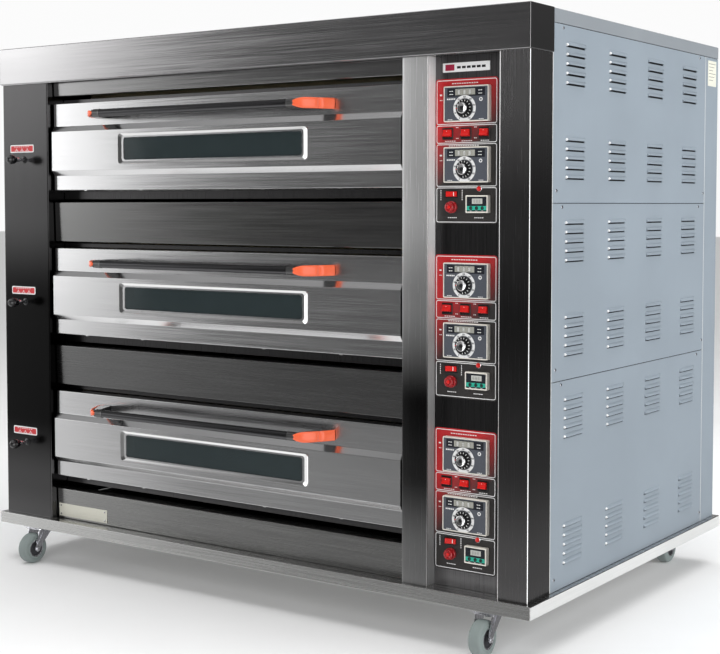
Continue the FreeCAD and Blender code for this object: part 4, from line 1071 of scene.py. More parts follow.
def door(deck):
    """A drop-down door: a pressed skin with a raised band, a liner, a framed double window and a handle."""
    body = "door_" + deck
    x0, x1, back, low, top = (span("door_panel_" + deck)[index] for index in (0, 1, 3, 4, 5))
    band_top = top - UPPER_FLAT - UPPER_CHAMFER
    band_low = band_top - RAISED_BAND
    w0, w1, w_low, w_top = window_opening(deck)
    path = [
        (back - 3, top - 0.5), (FLAT_DEPTH, top - 0.5), (
            FLAT_DEPTH, top - UPPER_FLAT,
        ), (RAISED_DEPTH, band_top),
        (RAISED_DEPTH, band_low), (
            FLAT_DEPTH, band_low - LOWER_CHAMFER,
        ), (FLAT_DEPTH, low + 0.5), (back - 3, low + 0.5),
    ]
    skin = Piece("door_skin_" + deck, M["door"])
    skin.run(thick(rounded(path, 2.2, 4), SHEET * 0.8), "dh", x0 + 1.2, x1 - 1.2)
    made = skin.finish(body, "door_panel_" + deck, slot="door_steel")
    cut_window(made, (w0, w1, RAISED_DEPTH - 4, RAISED_DEPTH + 8, w_low, w_top), WINDOW_CORNER)

    ends = Piece("door_ends_" + deck, M["door"], M["seam"], M["bright"])
    outline = [(d, h) for d, h in path]
    outline = [(back - 1, top - 0.5)] + outline[1:-1] + [(back - 1, low + 0.5)]
    end_outline = rounded(outline, 2.2, 4, closed=True)
    for x in (x0, x1 - 2.6):
        shrunk = [(d + 0.5, h) for d, h in end_outline]
        ends.run(shrunk, "dh", x + 0.2, x + 2.4)
    for x in (x0 + 120, x0 + 330, x1 - 420, x1 - 180):
        ends.block(x - 5, x + 5, FLAT_DEPTH + 2, FLAT_DEPTH + 9, low - 1.2, low + 1.5, 0.5, 2)
    ends.finish(body, slot="door_steel")

    liner = Piece("door_liner_" + deck, M["chamber"])
    liner.block(x0 + 1, x1 - 1, back - 2, back, low + 0.5, top - 0.5, 0.7)
    made = liner.finish(body, slot="chamber_steel")
    cut_window(made, (w0, w1, back - 6, back + 4, w_low, w_top), WINDOW_CORNER)
    bead = Piece("door_liner_bead_" + deck, M["chamber"])
    margin = 26.0
    rows = [
        (0.0, 12.0, back - 0.5), (1.5, 12.0, back + 2.0), (7.0, 12.0, back + 2.0), (8.5, 12.0, back - 0.5),
    ]
    edges = (x0 + margin, x1 - margin, low + margin, top - margin + 8)
    bead.nest(edges, rows, 0, (False, False))
    bead.finish(body, slot="chamber_steel")
    window_frame(deck, body, back)
    handle(deck, body, top)


def window_frame(deck, body, back):
    w0, w1, w_low, w_top = window_opening(deck)
    frame_piece = Piece("window_trim_" + deck, M["bright"], M["chamber"])
    side_in = TRIM_SIDE
    rail_in = TRIM_RAIL
    steps = (
        (1.0, RAISED_DEPTH + 0.4, 10.0), (1.0, RAISED_DEPTH - 2.2, 9.8), (0.97, RAISED_DEPTH - 2.9, 9.5),
        (0.90, RAISED_DEPTH - 2.9, 9.2), (0.84, RAISED_DEPTH - 2.2, 9.0), (0.16, RAISED_DEPTH + 0.9, 7.6),
        (0.10, RAISED_DEPTH + 0.6, 7.4), (0.03, RAISED_DEPTH + 0.8, 7.2), (0.0, RAISED_DEPTH + 3.0, 7.0),
    )
    rows = []
    for share, depth, radius in steps:
        grow_x = side_in * share
        grow_h = rail_in * share
        rows.append(
            rounded_rectangle(w0 - grow_x, w1 + grow_x, w_low - grow_h, w_top + grow_h, radius, depth)
        )
    frame_piece.stack(rows, 0, (False, False))
    # A folded spacer closes the space between the two panes.
    pane_back, pane_front = RAISED_DEPTH + 7.5, back - 8.0
    rows = [
        (-3.0, 6.0, pane_back), (-3.0, 6.0, pane_front), (-1.8, 6.0, pane_front), (-1.8, 6.0, pane_back),
    ]
    frame_piece.nest((w0, w1, w_low, w_top), rows + [rows[0]], 1, (False, False))
    frame_piece.finish(body, slot="door_steel")
    panes = Piece("window_panes_" + deck, M["glass"])
    x0, x1, d0, d1, low, top = WINDOWS[deck]
    panes.block(x0 + 0.5, x1 - 0.5, d0 + 0.4, d0 + GLASS_THICKNESS, low + 0.5, top - 0.5, 0.6)
    panes.block(x0 + 0.5, x1 - 0.5, d1 - GLASS_THICKNESS, d1 - 0.1, low + 0.5, top - 0.5, 0.6)
    panes.finish(body, "door_window_" + deck, slot="window_glass")


def handle(deck, body, top):
    """A gloss tube between two black gusset arms with heat-proof covers on their outer faces."""
    x0, x1, d0 = span("door_handle_" + deck)[:3]
    height = top - HANDLE_DROP
    depth = d0 + HANDLE_RADIUS
    spread = 64.0 + 4.0 * 1.25
    tube_x0 = x0 + spread
    tube_x1 = x1 - spread
    bar = Piece("handle_tube_" + deck, M["black_chrome"], M["collar"])
    path = [(tube_x0 + 6, depth, height), (tube_x1 - 6, depth, height)]
    bar.tube(path, HANDLE_RADIUS - 0.8, 0, 32)
    collar = 24.0
    for a in (tube_x0, tube_x1 - collar):
        middle = (a, depth, height)
        profile = [(HANDLE_RADIUS - 1.5, 0), (HANDLE_RADIUS - 0.2, 0.8), (HANDLE_RADIUS - 0.2, collar - 3),
                   (HANDLE_RADIUS, collar - 2.4), (HANDLE_RADIUS, collar - 0.8), (HANDLE_RADIUS - 1, collar)]
        if a > tube_x0:
            profile = [(r, collar - t) for r, t in profile[::-1]]
        bar.lathe(middle, profile, "x", 1, 32)
    bar.finish(body, "door_handle_" + deck, slot="handle_black")
    arms = Piece("handle_arms_" + deck, M["gloss_black"])
    covers = Piece("handle_covers_" + deck, M["orange"])
    for sign, tip in ((1, tube_x1), (-1, tube_x0)):
        foot = tip + sign * (spread - 6.0)
        outline = [
            (
                tip - sign * 4, depth + HANDLE_RADIUS - 4,
            ), (tip - sign * 2, depth - 4), (tip + sign * 8, depth - 5),
            (foot - sign * 2, FLAT_DEPTH), (foot - sign * 44, FLAT_DEPTH),
        ]
        rows = []
        for inset, rise in ((2.2, -9.5), (0.8, -8.6), (0.0, -7.0), (0.0, 7.0), (0.8, 8.6), (2.2, 9.5)):
            smooth_outline = rounded(outline, 6.0 + inset, 4, closed=True)
            middle = Vector(
                (sum(p[0] for p in smooth_outline), sum(p[1] for p in smooth_outline))
            ) / len(smooth_outline)
            row = []
            for x, d in smooth_outline:
                toward = (middle - Vector((x, d)))
                shift = toward.normalized() * inset
                row.append((x + shift.x, min(d + shift.y, FLAT_DEPTH), height + rise))
            rows.append(row)
        arms.stack(rows)
        handle_cover(covers, tip, foot, depth, height, sign)
    arms.finish(body, slot="handle_black")
    covers.finish(body, sharp=60)


def handle_cover(piece, tip, foot, depth, height, sign):
    """A leaf-shaped cover along the arm's outer face: pointed at the tube, square at the door."""
    start = Vector((tip - sign * (10.0 if sign > 0 else 2.0), depth - HANDLE_RADIUS + 3.0))
    bulge = Vector((tip + sign * 26.0, depth - HANDLE_RADIUS - 2.0))
    end = Vector((foot - sign * 1.0, FLAT_DEPTH - 0.4))
    rows = []
    steps = 18
    for step in range(steps + 1):
        t = step / steps
        middle = start * (1 - t) ** 2 + bulge * 2 * t * (1 - t) + end * t * t
        ahead = (bulge - start) * 2 * (1 - t) + (end - bulge) * 2 * t
        ahead.normalize()
        out = Vector((sign * -ahead.y, sign * ahead.x)) * sign
        if out.y > 0 and abs(ahead.x) > 0.5:
            out = -out
        half = (13.2 if sign > 0 else 8.8) * math.sin(min(1.0, t / 0.5 + 0.02) * math.pi / 2) ** 0.75
        thickness = 9.5 * math.sin(min(1.0, t / 0.35 + 0.05) * math.pi / 2) * (1 - 0.35 * t)
        row = []
        count = 16
        for index in range(count):
            turn = 2 * math.pi * index / count
            u = math.cos(turn)
            v = math.sin(turn)
            bulk = (abs(u) ** 3.2 + abs(v) ** 3.2) ** (-1 / 3.2)
            across = out * (u * bulk * thickness / 2)
            front = max(middle.y + across.y, depth - HANDLE_RADIUS + 0.4)
            row.append((middle.x + across.x, min(front, FLAT_DEPTH), height + v * bulk * half))
        rows.append(row)
    piece.stack(rows)


# ---------------------------------------------------------------- dampers and labels


def damper(deck):
    """The pull's egg-shaped knob and rod; its flap inside the duct stays as the frame has it."""
    box = span("damper_pull_" + deck)
    knob_front = box[2]
    rod_x = DAMPER_ROD_X
    height = span("door_panel_" + deck)[4] + 87.0
    piece = Piece("damper_knob_" + deck, M["gloss_black"], M["zinc"])
    profile = []
    length = 37.0
    for step in range(15):
        share = step / 14
        radius = 14.3 * math.sin(math.pi * (0.04 + 0.90 * share)) ** 0.62
        profile.append((radius * (1.0 - 0.22 * share), length * share + 0.2))
    piece.lathe((rod_x, knob_front, height), profile, "d", 0, 32)
    piece.lathe(
        (rod_x, knob_front + length - 2, height), [(6.2, 0), (6.4, 1), (6.4, 7), (5.4, 8.4), (4.2, 8.6)],
        "d", 1, 24,
    )
    piece.lathe((rod_x, knob_front + length, height), [(3.6, 0), (3.6, 150)], "d", 1, 20)
    flap = 26.0
    piece.block(rod_x + flap - 2, rod_x + flap, 200, 260, height - flap, height + flap, 0.5, 1)
    piece.block(rod_x - 4, rod_x + flap, 185, 200, height - 4, height + 4, 0.8, 1)
    piece.finish("damper_" + deck, "damper_pull_" + deck, slot="handle_black")
    guide = Piece("damper_guide_" + deck, M["black"])
    profile = [(10.5, 0.4), (10.2, -1.2), (8.4, -2.2), (5.4, -2.6), (4.9, -2.0), (4.9, 0.4)]
    guide.lathe((rod_x, 0, height), profile, "d", 0, 32)
    guide.finish(BODY, slot="black_plastic")


# The outline of the small steam mark on the damper labels, about its foot's middle.
WAVE = (
    (-7, 0.0), (-2.4, 0.0), (0, 5.0), (2.4, 0.0), (7, 0.0),
    (7, 1.4), (3.4, 1.4), (0, 8.2), (-3.4, 1.4), (-7, 1.4),
)


def plates():
    """Damper labels, the badge, the blank kick plate and the rear plate, all without lettering."""
    piece = Piece("damper_labels", M["print_and_highlight_white"], M["label_red"])
    badge = Piece("badge_plate", M["print_and_highlight_white"], M["label_crimson"], M["seam"])
    tags = Piece("blank_plates", M["label_plate"], M["zinc"], M["seam"])
    for box in solids_of("nameplates"):
        x0, x1, d0, d1, low, top = box
        middle = (x0 + x1) / 2
        if x1 < LEFT_COLUMN[1] and d0 < 0:
            rows = [(0.0, 4.0, -0.02), (0.0, 4.0, d0 + 0.3), (0.4, 3.7, d0 + 0.15)]
            piece.nest((x0, x1, low, top), rows)
            piece.patch(x0 + 3.2, x1 - 3.2, low + 3.2, top - 3.2, 2.2, d0 + 0.2, d0 + 0.02, 1)
            for index in range(3):
                centre = middle + (index - 1) * 22.0
                rise = low + 4.4
                wave = [(centre + u, rise + v) for u, v in WAVE]
                piece.run(wave, "xh", d0 + 0.1, d0, 0)
            for index in range(7):
                start = x0 + 16 + index * 9.2
                piece.block(start, start + 6.0, d0, d0 + 0.1, top - 6.4, top - 5.0, 0.0, 0)
        elif low > 1000 and d0 > 20 and x0 < SIDE - 50:
            rows = [(0.0, 1.2, d1), (0.0, 1.2, d0 + 0.3), (0.4, 1.0, d0 + 0.1)]
            badge.nest((x0, x1, low, top), rows)
            badge.block(x0 + 7, x0 + 31, d0 - 0.02, d0 + 0.2, low + 3.5, top - 3.5, 0.05, 1)
            for index in range(6):
                start = x0 + 38 + index * 13.0
                badge.block(start, start + 10.0, d0 - 0.02, d0 + 0.2, low + 7.4, low + 12.8, 0.05, 2)
        elif x0 >= SIDE - 1:
            rear = Piece("rear_blank_plate", M["label_plate"], M["seam"])
            rear.block(x0 - 0.5, x1 - 0.2, d0, d1, low, top, 0.3)
            for index in range(6):
                line = top - 8 - index * 9.0
                rear.block(x1 - 0.3, x1 - 0.12, d0 + 6, d1 - 6 - (index % 3) * 9, line - 1.1, line, 0, 1)
            rear.finish(BODY, slot="label_plate")
        else:
            lean = (d1 - 1.0 - d0) / (top - low)
            outline = [(d1 - 1.0, low), (d1 - 2.0, low), (d0, top), (d0 + 1.0, top)]
            tags.run(outline, "dh", x0 + 8, x1)
            for x in (x0 + 16, x1 - 8):
                for height in (low + 6, top - 6):
                    depth = d1 - 1.0 - lean * (height - low)
                    tags.lathe(
                        (x, depth - 0.8, height), [(2.6, 0), (2.4, -0.7), (1.2, -1.2), (0.2, -1.3)], "d", 1,
                        14,
                    )
    piece.finish(BODY, "nameplates", slot="label_plate")
    badge.finish(BODY, slot="label_plate")
    tags.finish(BODY, slot="label_plate")


# ---------------------------------------------------------------- control bay

BAY = (BAY_LEFT, BAY_RIGHT, BAY_FACE + 1.0, span("control_panels")[3], 0.0, FASCIA_TOP)
OVERLAYS = [
    (
        BAY_LEFT + 1.0, BAY_LEFT + 166.0, BAY_FACE, BAY_FACE + 1.0, top - 325.0, top + 6.0,
    ) for top in DOOR_TOPS
]
CONTROLLERS = solids_of("temperature_controllers")
TIMERS = sorted(solids_of("timers"), key=lambda b: b[4])
SEGMENTS = {
    "0": "abcdef", "1": "bc", "2": "abged", "3": "abgcd", "4": "fgbc", "5": "afgcd", "8": "abcdefg",
}


def add_digit(piece, digit, x, depth, height, size, material, stroke=0.14):
    """A seven-segment numeral, with its lower left corner at x and height."""
    wide = size * 0.52
    pen = size * stroke
    half = size / 2
    bars = {
        "a": (x, x + wide, height + size - pen, height + size),
        "b": (x + wide - pen, x + wide, height + half, height + size),
        "c": (x + wide - pen, x + wide, height, height + half),
        "d": (x, x + wide, height, height + pen),
        "e": (x, x + pen, height, height + half),
        "f": (x, x + pen, height + half, height + size),
        "g": (x, x + wide, height + half - pen / 2, height + half + pen / 2),
    }
    for name in SEGMENTS[digit]:
        x0, x1, h0, h1 = bars[name]
        piece.block(x0, x1, depth - 0.06, depth + 0.06, h0, h1, 0.0, material)


def line_box(piece, x0, x1, h0, h1, depth, width, radius, material):
    """A printed rounded outline."""
    inner = max(radius - width, 0.5)
    back, front = depth + 0.08, depth - 0.06
    rows = [(0.0, radius, back), (0.0, radius, front), (width, inner, front), (width, inner, back)]
    piece.nest((x0, x1, h0, h1), rows + [rows[0]], material, (False, False))


def dashes(piece, x, height, count, size, gap, depth, material, tall=1.5):
    """A row of short printed marks that stands in for a caption."""
    for index in range(count):
        start = x + index * (size + gap)
        piece.block(start, start + size, depth - 0.06, depth + 0.06, height, height + tall, 0.0, material)


def bay_plate():
    x0, x1, d0, d1, low, top = BAY
    piece = Piece("bay_plate", M["bay"])
    piece.block(x0 + 0.3, x1 - 0.3, d0 + 0.05, d1, low + 0.4, top - 0.4, 0.4)
    piece.finish(BODY, "control_panels", slot="panel_black")


def overlay(deck_index, deck):
    x0, x1, d0, d1, low, top = OVERLAYS[deck_index]
    sheet = Piece("overlay_" + deck, M["overlay"])
    rows = [(0.0, 8.0, d1 + 0.02), (0.0, 8.0, d0 + 0.2), (0.3, 7.7, d0 + 0.05)]
    sheet.nest((x0, x1, low, top), rows)
    sheet.finish(BODY, slot="panel_black")
    marks = Piece("overlay_marks_" + deck, M["print_and_highlight_white"])
    face = d0 + 0.02
    for first, last in ((3, 104), (106, 147), (149, 246), (248, 328)):
        line_box(marks, x0 + 3, x1 - 3, top - last, top - first, face, 1.7, 5.0, 0)
    dashes(marks, x0 + 44, top - 12.4, 11, 4.6, 1.8, face, 0, 2.2)
    dashes(marks, x0 + 26, top - 143.0, 5, 4.2, 1.6, face, 0, 1.8)
    dashes(marks, x0 + 70, top - 143.0, 5, 4.2, 1.6, face, 0, 1.8)
    dashes(marks, x0 + 120, top - 143.0, 4, 4.2, 1.6, face, 0, 1.8)
    dashes(marks, x0 + 36, top - 154.0, 13, 4.6, 1.6, face, 0, 2.2)
    for x in (x0 + 55, x0 + 103):
        dashes(marks, x, top - 112.5, 2, 2.6, 1.2, face, 0, 1.8)
        dashes(marks, x, top - 137.0, 2, 2.6, 1.2, face, 0, 1.8)
    for instrument_top in (18.0, 156.0):
        dashes(marks, x0 + 11.5, top - instrument_top - 20, 1, 6.0, 1.0, face, 0, 3.2)
        dashes(marks, x0 + 11.5, top - instrument_top - 31, 2, 3.0, 1.0, face, 0, 1.6)
    for row in range(5):
        for x in (x0 + 14, x0 + 71):
            dashes(marks, x, top - 257.0 - row * 5.0, 1, 2.0, 1.0, face, 0, 3.4)
    dashes(marks, x0 + 34, top - 318.0, 5, 3.6, 1.4, face, 0, 2.0)
    dashes(marks, x0 + 104, top - 318.0, 5, 3.6, 1.4, face, 0, 2.0)
    marks.finish(BODY, slot="panel_black")


def controller(index, box):
    """A panel temperature controller: raised bezel, slate face, lit window with three digits, dial scale."""
    x0, x1, face, back, low, top = box
    bezel_back = BAY_FACE
    deck = DECKS[index // 2]
    which = "lower" if index % 2 == 0 else "upper"
    name = "controller_%s_%s" % (deck, which)
    shell = Piece(
        name, M["cream"], M["face"], M["face_dark"], M["display"], M["digit"], M["print_and_highlight_white"],
        M["digit_dark"],
    )
    rim = 1.6
    rows = [
        (0.0, 3.0, bezel_back), (0.0, 3.0, face + 1.0), (0.9, 2.4, face + 0.05),
        (rim + 0.5, 2.0, face + 0.05), (rim + 0.8, 1.8, face + 1.1),
    ]
    shell.nest((x0, x1, low, top), rows)
    print_face = face + 0.95
    inner = (x0 + rim + 1.2, x1 - rim - 1.2, low + rim + 1.2, top - rim - 1.2)
    shell.patch(*inner, 1.4, print_face + 0.3, print_face, 1)
    strip_low = top - 24.0
    strip = (x0 + 10, x1 - 9, strip_low, top - 5.0)
    shell.patch(*strip, 1.2, print_face + 0.1, print_face - 0.15, 2)
    window = (x0 + 31, x1 - 35, strip_low + 3.0, top - 7.0)
    shell.patch(*window, 0.8, print_face, print_face - 0.3, 3)
    for place, digit in enumerate("888"):
        add_digit(
            shell, digit, window[0] + 7.0 + place * 14.5, print_face - 0.34, window[2] + 1.6, 10.0, 4, 0.2,
        )
    for x in (x0 + 15.5, x1 - 26.5):
        for height in (strip_low + 11.5, strip_low + 4.5):
            dashes(shell, x, height, 2, 4.2, 1.0, print_face - 0.18, 5, 1.6)
    dashes(shell, x0 + 9, top - 31.0, 5, 3.4, 1.2, print_face - 0.05, 5, 3.2)
    dashes(shell, x0 + 11, low + 4.2, 3, 3.2, 1.2, print_face - 0.05, 5, 1.6)
    dashes(shell, x1 - 25, low + 4.2, 3, 3.2, 1.2, print_face - 0.05, 5, 1.6)
    ring_at = (x1 - 20.0, print_face, top - 32.0)
    profile = [(4.4, 0.1), (4.4, -0.1), (2.4, -0.1), (2.4, 0.1)]
    shell.lathe(ring_at, profile + [profile[0]], "d", 5, 24, (False, False))
    dial_scale(shell, deck, which, print_face)
    body = Piece("%s_case" % name, M["black"])
    body.block(x0 + 14, x1 - 14, bezel_back, back, low + 14, top - 14, 1.0)
    body.finish(BODY, slot="black_plastic")
    replaced = ["temperature_controllers"] if index == 0 else []
    shell.finish(BODY, *replaced, slot="cream_plastic")


def dial_scale(shell, deck, which, depth):
    """The white scale ring with ticks and numbers round a dial."""
    x, _, height = JOINT_POINTS["dial_knob_%s_%s_heat" % (deck, which)]
    outer, inner = 29.5, 22.4
    ring = [(outer, 0.1), (outer, -0.25), (inner, -0.25), (inner, 0.1)]
    shell.lathe((x, depth, height), ring + [ring[0]], "d", 5, 64, (False, False))
    numbers = ("0", "50", "100", "150", "200", "250", "300", "350", "400")
    for index in range(41):
        turn = math.radians(240 - index * 7.5)
        long_tick = index % 5 == 0
        r0 = inner + 0.6
        r1 = inner + (2.6 if long_tick else 1.6)
        along = Vector((math.cos(turn), math.sin(turn)))
        side = Vector((-along.y, along.x)) * (0.34 if long_tick else 0.2)
        corners = [along * r0 + side, along * r1 + side, along * r1 - side, along * r0 - side]
        shell.run([(x + c.x, height + c.y) for c in corners], "xh", depth - 0.33, depth - 0.2, 2)
    for index, text in enumerate(numbers):
        turn = math.radians(240 - index * 37.5)
        size = 3.4
        step = size * 0.70
        cx = x + math.cos(turn) * (outer - 3.6) - step * len(text) / 2
        ch = height + math.sin(turn) * (outer - 3.6) - size / 2
        for place, digit in enumerate(text):
            add_digit(shell, digit, cx + place * step, depth - 0.3, ch, size, 2, 0.16)


def dial(deck, which):
    """A dial knob: black skirt with white marks, fluted grip and a turned bright cap with a red pointer."""
    body = "dial_knob_%s_%s_heat" % (deck, which)
    front = span(body)[2]
    x, _, height = JOINT_POINTS[body]
    piece = Piece(body + "_look", M["knob_black"], M["chrome"], M["print_and_highlight_white"], M["red"])
    reach = CONTROLLERS[0][2] - 0.3 - front
    skirt = [(21.0, reach), (21.0, reach - 2.4), (20.2, reach - 3.6), (15.0, reach - 4.4)]
    piece.lathe((x, front, height), skirt, "d", 0, 56)
    flutes = 28
    rows = []
    for radius, distance in ((13.0, reach - 4.0), (12.8, 4.0), (12.4, 2.2), (11.6, 1.4)):
        row = []
        count = flutes * 4
        for index in range(count):
            turn = 2 * math.pi * index / count
            grip = radius + 0.28 * math.cos(turn * flutes)
            row.append((x + grip * math.cos(turn), front + distance, height + grip * math.sin(turn)))
        rows.append(row)
    piece.stack(rows, 0)
    cap = [(12.3, 2.6), (12.3, 1.2), (11.8, 0.5), (11.0, 0.2), (9.0, 0.9), (4.0, 1.5), (1.0, 1.7)]
    piece.lathe((x, front, height), cap, "d", 1, 64)
    for index in range(11):
        turn = math.radians(150 - index * 24)
        along = Vector((math.cos(turn), math.sin(turn)))
        side = Vector((-along.y, along.x)) * 0.55
        corners = [along * 15.6 + side, along * 19.4 + side, along * 19.4 - side, along * 15.6 - side]
        piece.run(
            [(x + c.x, height + c.y) for c in corners], "xh", front + reach - 4.75, front + reach - 3.4, 2
        )
    piece.block(
        x - 19.6, x - 14.2, front + reach - 4.9, front + reach - 3.6, height - 0.9, height + 0.9, 0.1, 3,
    )
    piece.finish(body, body, slot="knob_black")


def rocker_piece(deck, name):
    """A translucent red rocker with two dished faces, resting with its foot pressed in."""
    body = "rocker_%s_%s" % (deck, name)
    lies_down = name == "power"
    length, width = (26.0, 12.0) if lies_down else (15.2, 22.0)
    tilt = math.radians(12.0)
    x, pivot, height = JOINT_POINTS[body]
    front = pivot - 10.4
    back = pivot + 2.4
    dish = length / 2 * math.tan(tilt)
    rows = []
    steps = 12
    for step in range(steps + 1):
        share = step / steps
        along = (share - 0.5) * length
        depth = front + dish * math.cos(math.pi * (share - 0.5)) ** 1.3
        edge = 1.0 if step in (0, steps) else 0.0
        row = []
        shoulder, crest = depth + 1.0 + edge, depth + edge * 0.9
        for side, lift in (
            (-1, back), (-1, shoulder), (-0.93, crest), (0.93, crest), (1, shoulder), (1, back),
        ):
            row.append((side * width / 2, lift, along))
        rows.append(row)
    piece = Piece(body + "_look", M["red"], M["print_and_highlight_white"])
    piece.stack(rows)
    mark = front + dish * 0.35
    if lies_down:
        piece.block(-width / 2 + 1.5, width / 2 - 1.5, mark + 0.9, mark + 1.9, 4.4, 6.4, 0.1, 1)
    else:
        piece.block(-0.5, 0.5, mark + 0.25, mark + 1.0, 3.2, 5.6, 0.1, 1)
    for vert in piece.mesh.verts:
        depth = vert.co.y - pivot
        along = vert.co.z
        vert.co.y = pivot + depth * math.cos(tilt) - along * math.sin(tilt) * -1
        vert.co.z = along * math.cos(tilt) - depth * math.sin(tilt)
        if lies_down:
            vert.co.x, vert.co.z = vert.co.z, -vert.co.x
        vert.co.x += x
        vert.co.z += height
    piece.finish(body, body, slot="red_plastic", sharp=50)


def switch_frames():
    """Rocker frames with open wells, pilot lamps with domed lenses, and buzzers with stepped caps."""
    housings = Piece("switch_frames", M["black"], M["seam"])
    lamps = Piece("pilot_lamps", M["red"], M["chrome"])
    buzzers = Piece("buzzers", M["red_dark"], M["seam"], M["red"])
    for box in solids_of("switch_housings"):
        x0, x1, d0, d1, low, top = box
        middle = ((x0 + x1) / 2, d0, (low + top) / 2)
        is_round = abs((x1 - x0) - (top - low)) < 0.2
        if is_round and x1 - x0 < 20:
            radius = (x1 - x0) / 2
            collar = [
                (radius, d1 - d0), (radius, d1 - d0 - 1.2), (radius - 0.6, d1 - d0 - 1.8),
                (radius - 1.6, d1 - d0 - 1.8),
            ]
            lamps.lathe(middle, collar, "d", 1, 32)
            dome = [(radius - 1.2, d1 - d0 - 1.0)]
            for step in range(7):
                turn = math.pi / 2 * step / 6.5
                dome.append(((radius - 1.2) * math.cos(turn), 3.0 * (1 - math.sin(turn))))
            lamps.lathe(middle, dome, "d", 0, 32)
        elif is_round:
            radius = (x1 - x0) / 2
            deep = d1 - d0
            profile = [(radius, deep), (radius, deep - 5), (radius - 1.2, deep - 6), (radius - 2.5, deep - 6),
                       (radius - 2.5, 1.5), (radius - 3.5, 0.4), (radius - 5.5, 0.1), (radius - 6.5, 1.6),
                       (radius - 9.0, 2.4), (radius - 9.6, 0.9), (radius - 12.5, 0.6)]
            buzzers.lathe(middle, profile, "d", 0, 40)
            buzzers.lathe(middle, [(4.2, 2.6), (4.2, 0.5), (3.4, 0.2), (0.6, 0.1)], "d", 2, 24)
        else:
            border = 3.0
            rows = [
                (0.0, 1.6, d0 + 2.0), (0.0, 1.6, d0 + 0.7), (0.8, 1.2, d0),
                (border, 0.5, d0 + 0.2), (border, 0.5, d0 + 20.0),
            ]
            housings.nest((x0, x1, low, top), rows)
            housings.block(x0 + 2, x1 - 2, d0 + 20.2, d1, low + 2, top - 2, 0.6)
    housings.finish(BODY, "switch_housings", slot="black_plastic")
    lamps.finish(BODY, slot="red_plastic")
    buzzers.finish(BODY, slot="red_plastic")


def timer(index, deck):
    """A panel timer: cream bezel, black face, pale display, teal strip and three keys."""
    x0, x1, face, back, low, top = TIMERS[index]
    bezel_back = BAY_FACE
    piece = Piece(
        "timer_" + deck, M["cream"], M["face_dark"], M["display_lcd"], M["teal"], M["print_and_highlight_white"],
        M["digit_dark"], M["seam"],
    )
    rim = 2.6
    rows = [
        (0.0, 2.0, bezel_back), (0.0, 2.0, face + 0.9), (0.8, 1.6, face + 0.05),
        (rim, 1.2, face + 0.05), (rim + 0.3, 1.0, face + 0.9),
    ]
    piece.nest((x0, x1, low, top), rows)
    print_face = face + 0.8
    inner = (x0 + rim + 0.6, x1 - rim - 0.6, low + rim + 0.6, top - rim - 0.6)
    piece.patch(*inner, 0.8, print_face + 0.2, print_face, 1)
    lcd = (x0 + 17, x1 - 14, top - 19.5, top - 7.5)
    piece.patch(*lcd, 0.6, print_face, print_face - 0.25, 2)
    for place, digit in enumerate("888"):
        add_digit(piece, digit, lcd[0] + 4.5 + place * 6.8, print_face - 0.3, lcd[2] + 2.6, 6.6, 5)
    keys = span("timer_keys_" + deck)
    middle = (keys[4] + keys[5]) / 2
    band = (x0 + rim + 1.0, x1 - rim - 1.0, middle - 4.6, middle + 4.6)
    piece.patch(*band, 0.6, print_face, print_face - 0.2, 3)
    centre = (keys[0] + keys[1]) / 2
    for offset in (-1, 0, 1):
        at = (centre + offset * 15.0, print_face - 0.2, middle)
        ring = [(4.2, 0.1), (4.2, -0.12), (2.9, -0.12), (2.9, 0.1)]
        piece.lathe(at, ring + [ring[0]], "d", 6, 24, (False, False))
        dashes(piece, centre + offset * 15.0 - 2.4, middle - 7.2, 2, 1.8, 0.8, print_face - 0.05, 4, 1.2)
    piece.block(x0 + 6, x1 - 6, bezel_back, back, low + 6, top - 6, 0.8, 6)
    replaced = ["timers"] if index == 0 else []
    piece.finish(BODY, *replaced, slot="cream_plastic")
    caps = Piece("timer_key_caps_" + deck, M["black"])
    for offset in (-1, 0, 1):
        at = (centre + offset * 15.0, keys[2], middle)
        caps.lathe(at, [(2.5, 6.0), (2.5, 0.6), (2.1, 0.15), (1.2, 0.3), (0.3, 0.4)], "d", 0, 20)
    caps.finish("timer_keys_" + deck, "timer_keys_" + deck, slot="black_plastic")


# ---------------------------------------------------------------- casters


# The tyre's side: share of the wheel's radius, and distance in from the wheel's face.
TYRE_SIDE = (
    (0.575, 1.0), (0.60, 0.4), (0.66, 1.6), (0.70, 1.9), (0.72, 1.0), (0.80, 0.9),
    (0.82, 1.8), (0.88, 2.4), (0.93, 3.6), (0.975, 6.0), (0.99, 8.5), (1.0, 12.0),
)


def caster(name):
    """A swivel caster: plate with bolts, pressed fork with ribs, and a wheel with a ridged grey tyre."""
    fork = "caster_fork_" + name
    wheel = "caster_wheel_" + name
    x0, x1, d0, d1, low, top = span(wheel)
    radius = (top - low) / 2
    middle = ((x0 + x1) / 2, (d0 + d1) / 2, (low + top) / 2)
    half = (x1 - x0) / 2
    rubber = Piece("caster_tyre_" + name, M["tyre"], M["hub"], M["zinc"])
    left = (middle[0] - half, middle[1], middle[2])
    width = 2 * half
    side = [(radius * share, offset) for share, offset in TYRE_SIDE]
    profile = side + [(r, width - t) for r, t in side[::-1]]
    rubber.lathe(left, profile + [profile[0]], "x", 0, 72, (False, False))
    hub_side = [(4.2, 1.5), (7.5, 1.2), (8.2, 2.6), (8.6, 6.0)]
    hub_side += [
        (radius * share, offset) for share, offset in ((0.44, 6.5), (0.50, 4.0), (0.52, 2.0), (0.572, 1.8))
    ]
    hub = hub_side + [(r, width - t) for r, t in hub_side[::-1]]
    rubber.lathe(left, hub + [hub[0]], "x", 1, 48, (False, False))
    for flip in (0, 1):
        rim = [(radius * 0.50, 2.2), (radius * 0.515, 1.4), (radius * 0.575, 1.2), (radius * 0.58, 2.4)]
        loop = [(r, width - t if flip else t) for r, t in rim]
        rubber.lathe(left, loop + [loop[0]], "x", 2, 48, (False, False))
    rubber.finish(wheel, wheel, slot="wheel_rubber")
    caster_fork(name, fork, middle)


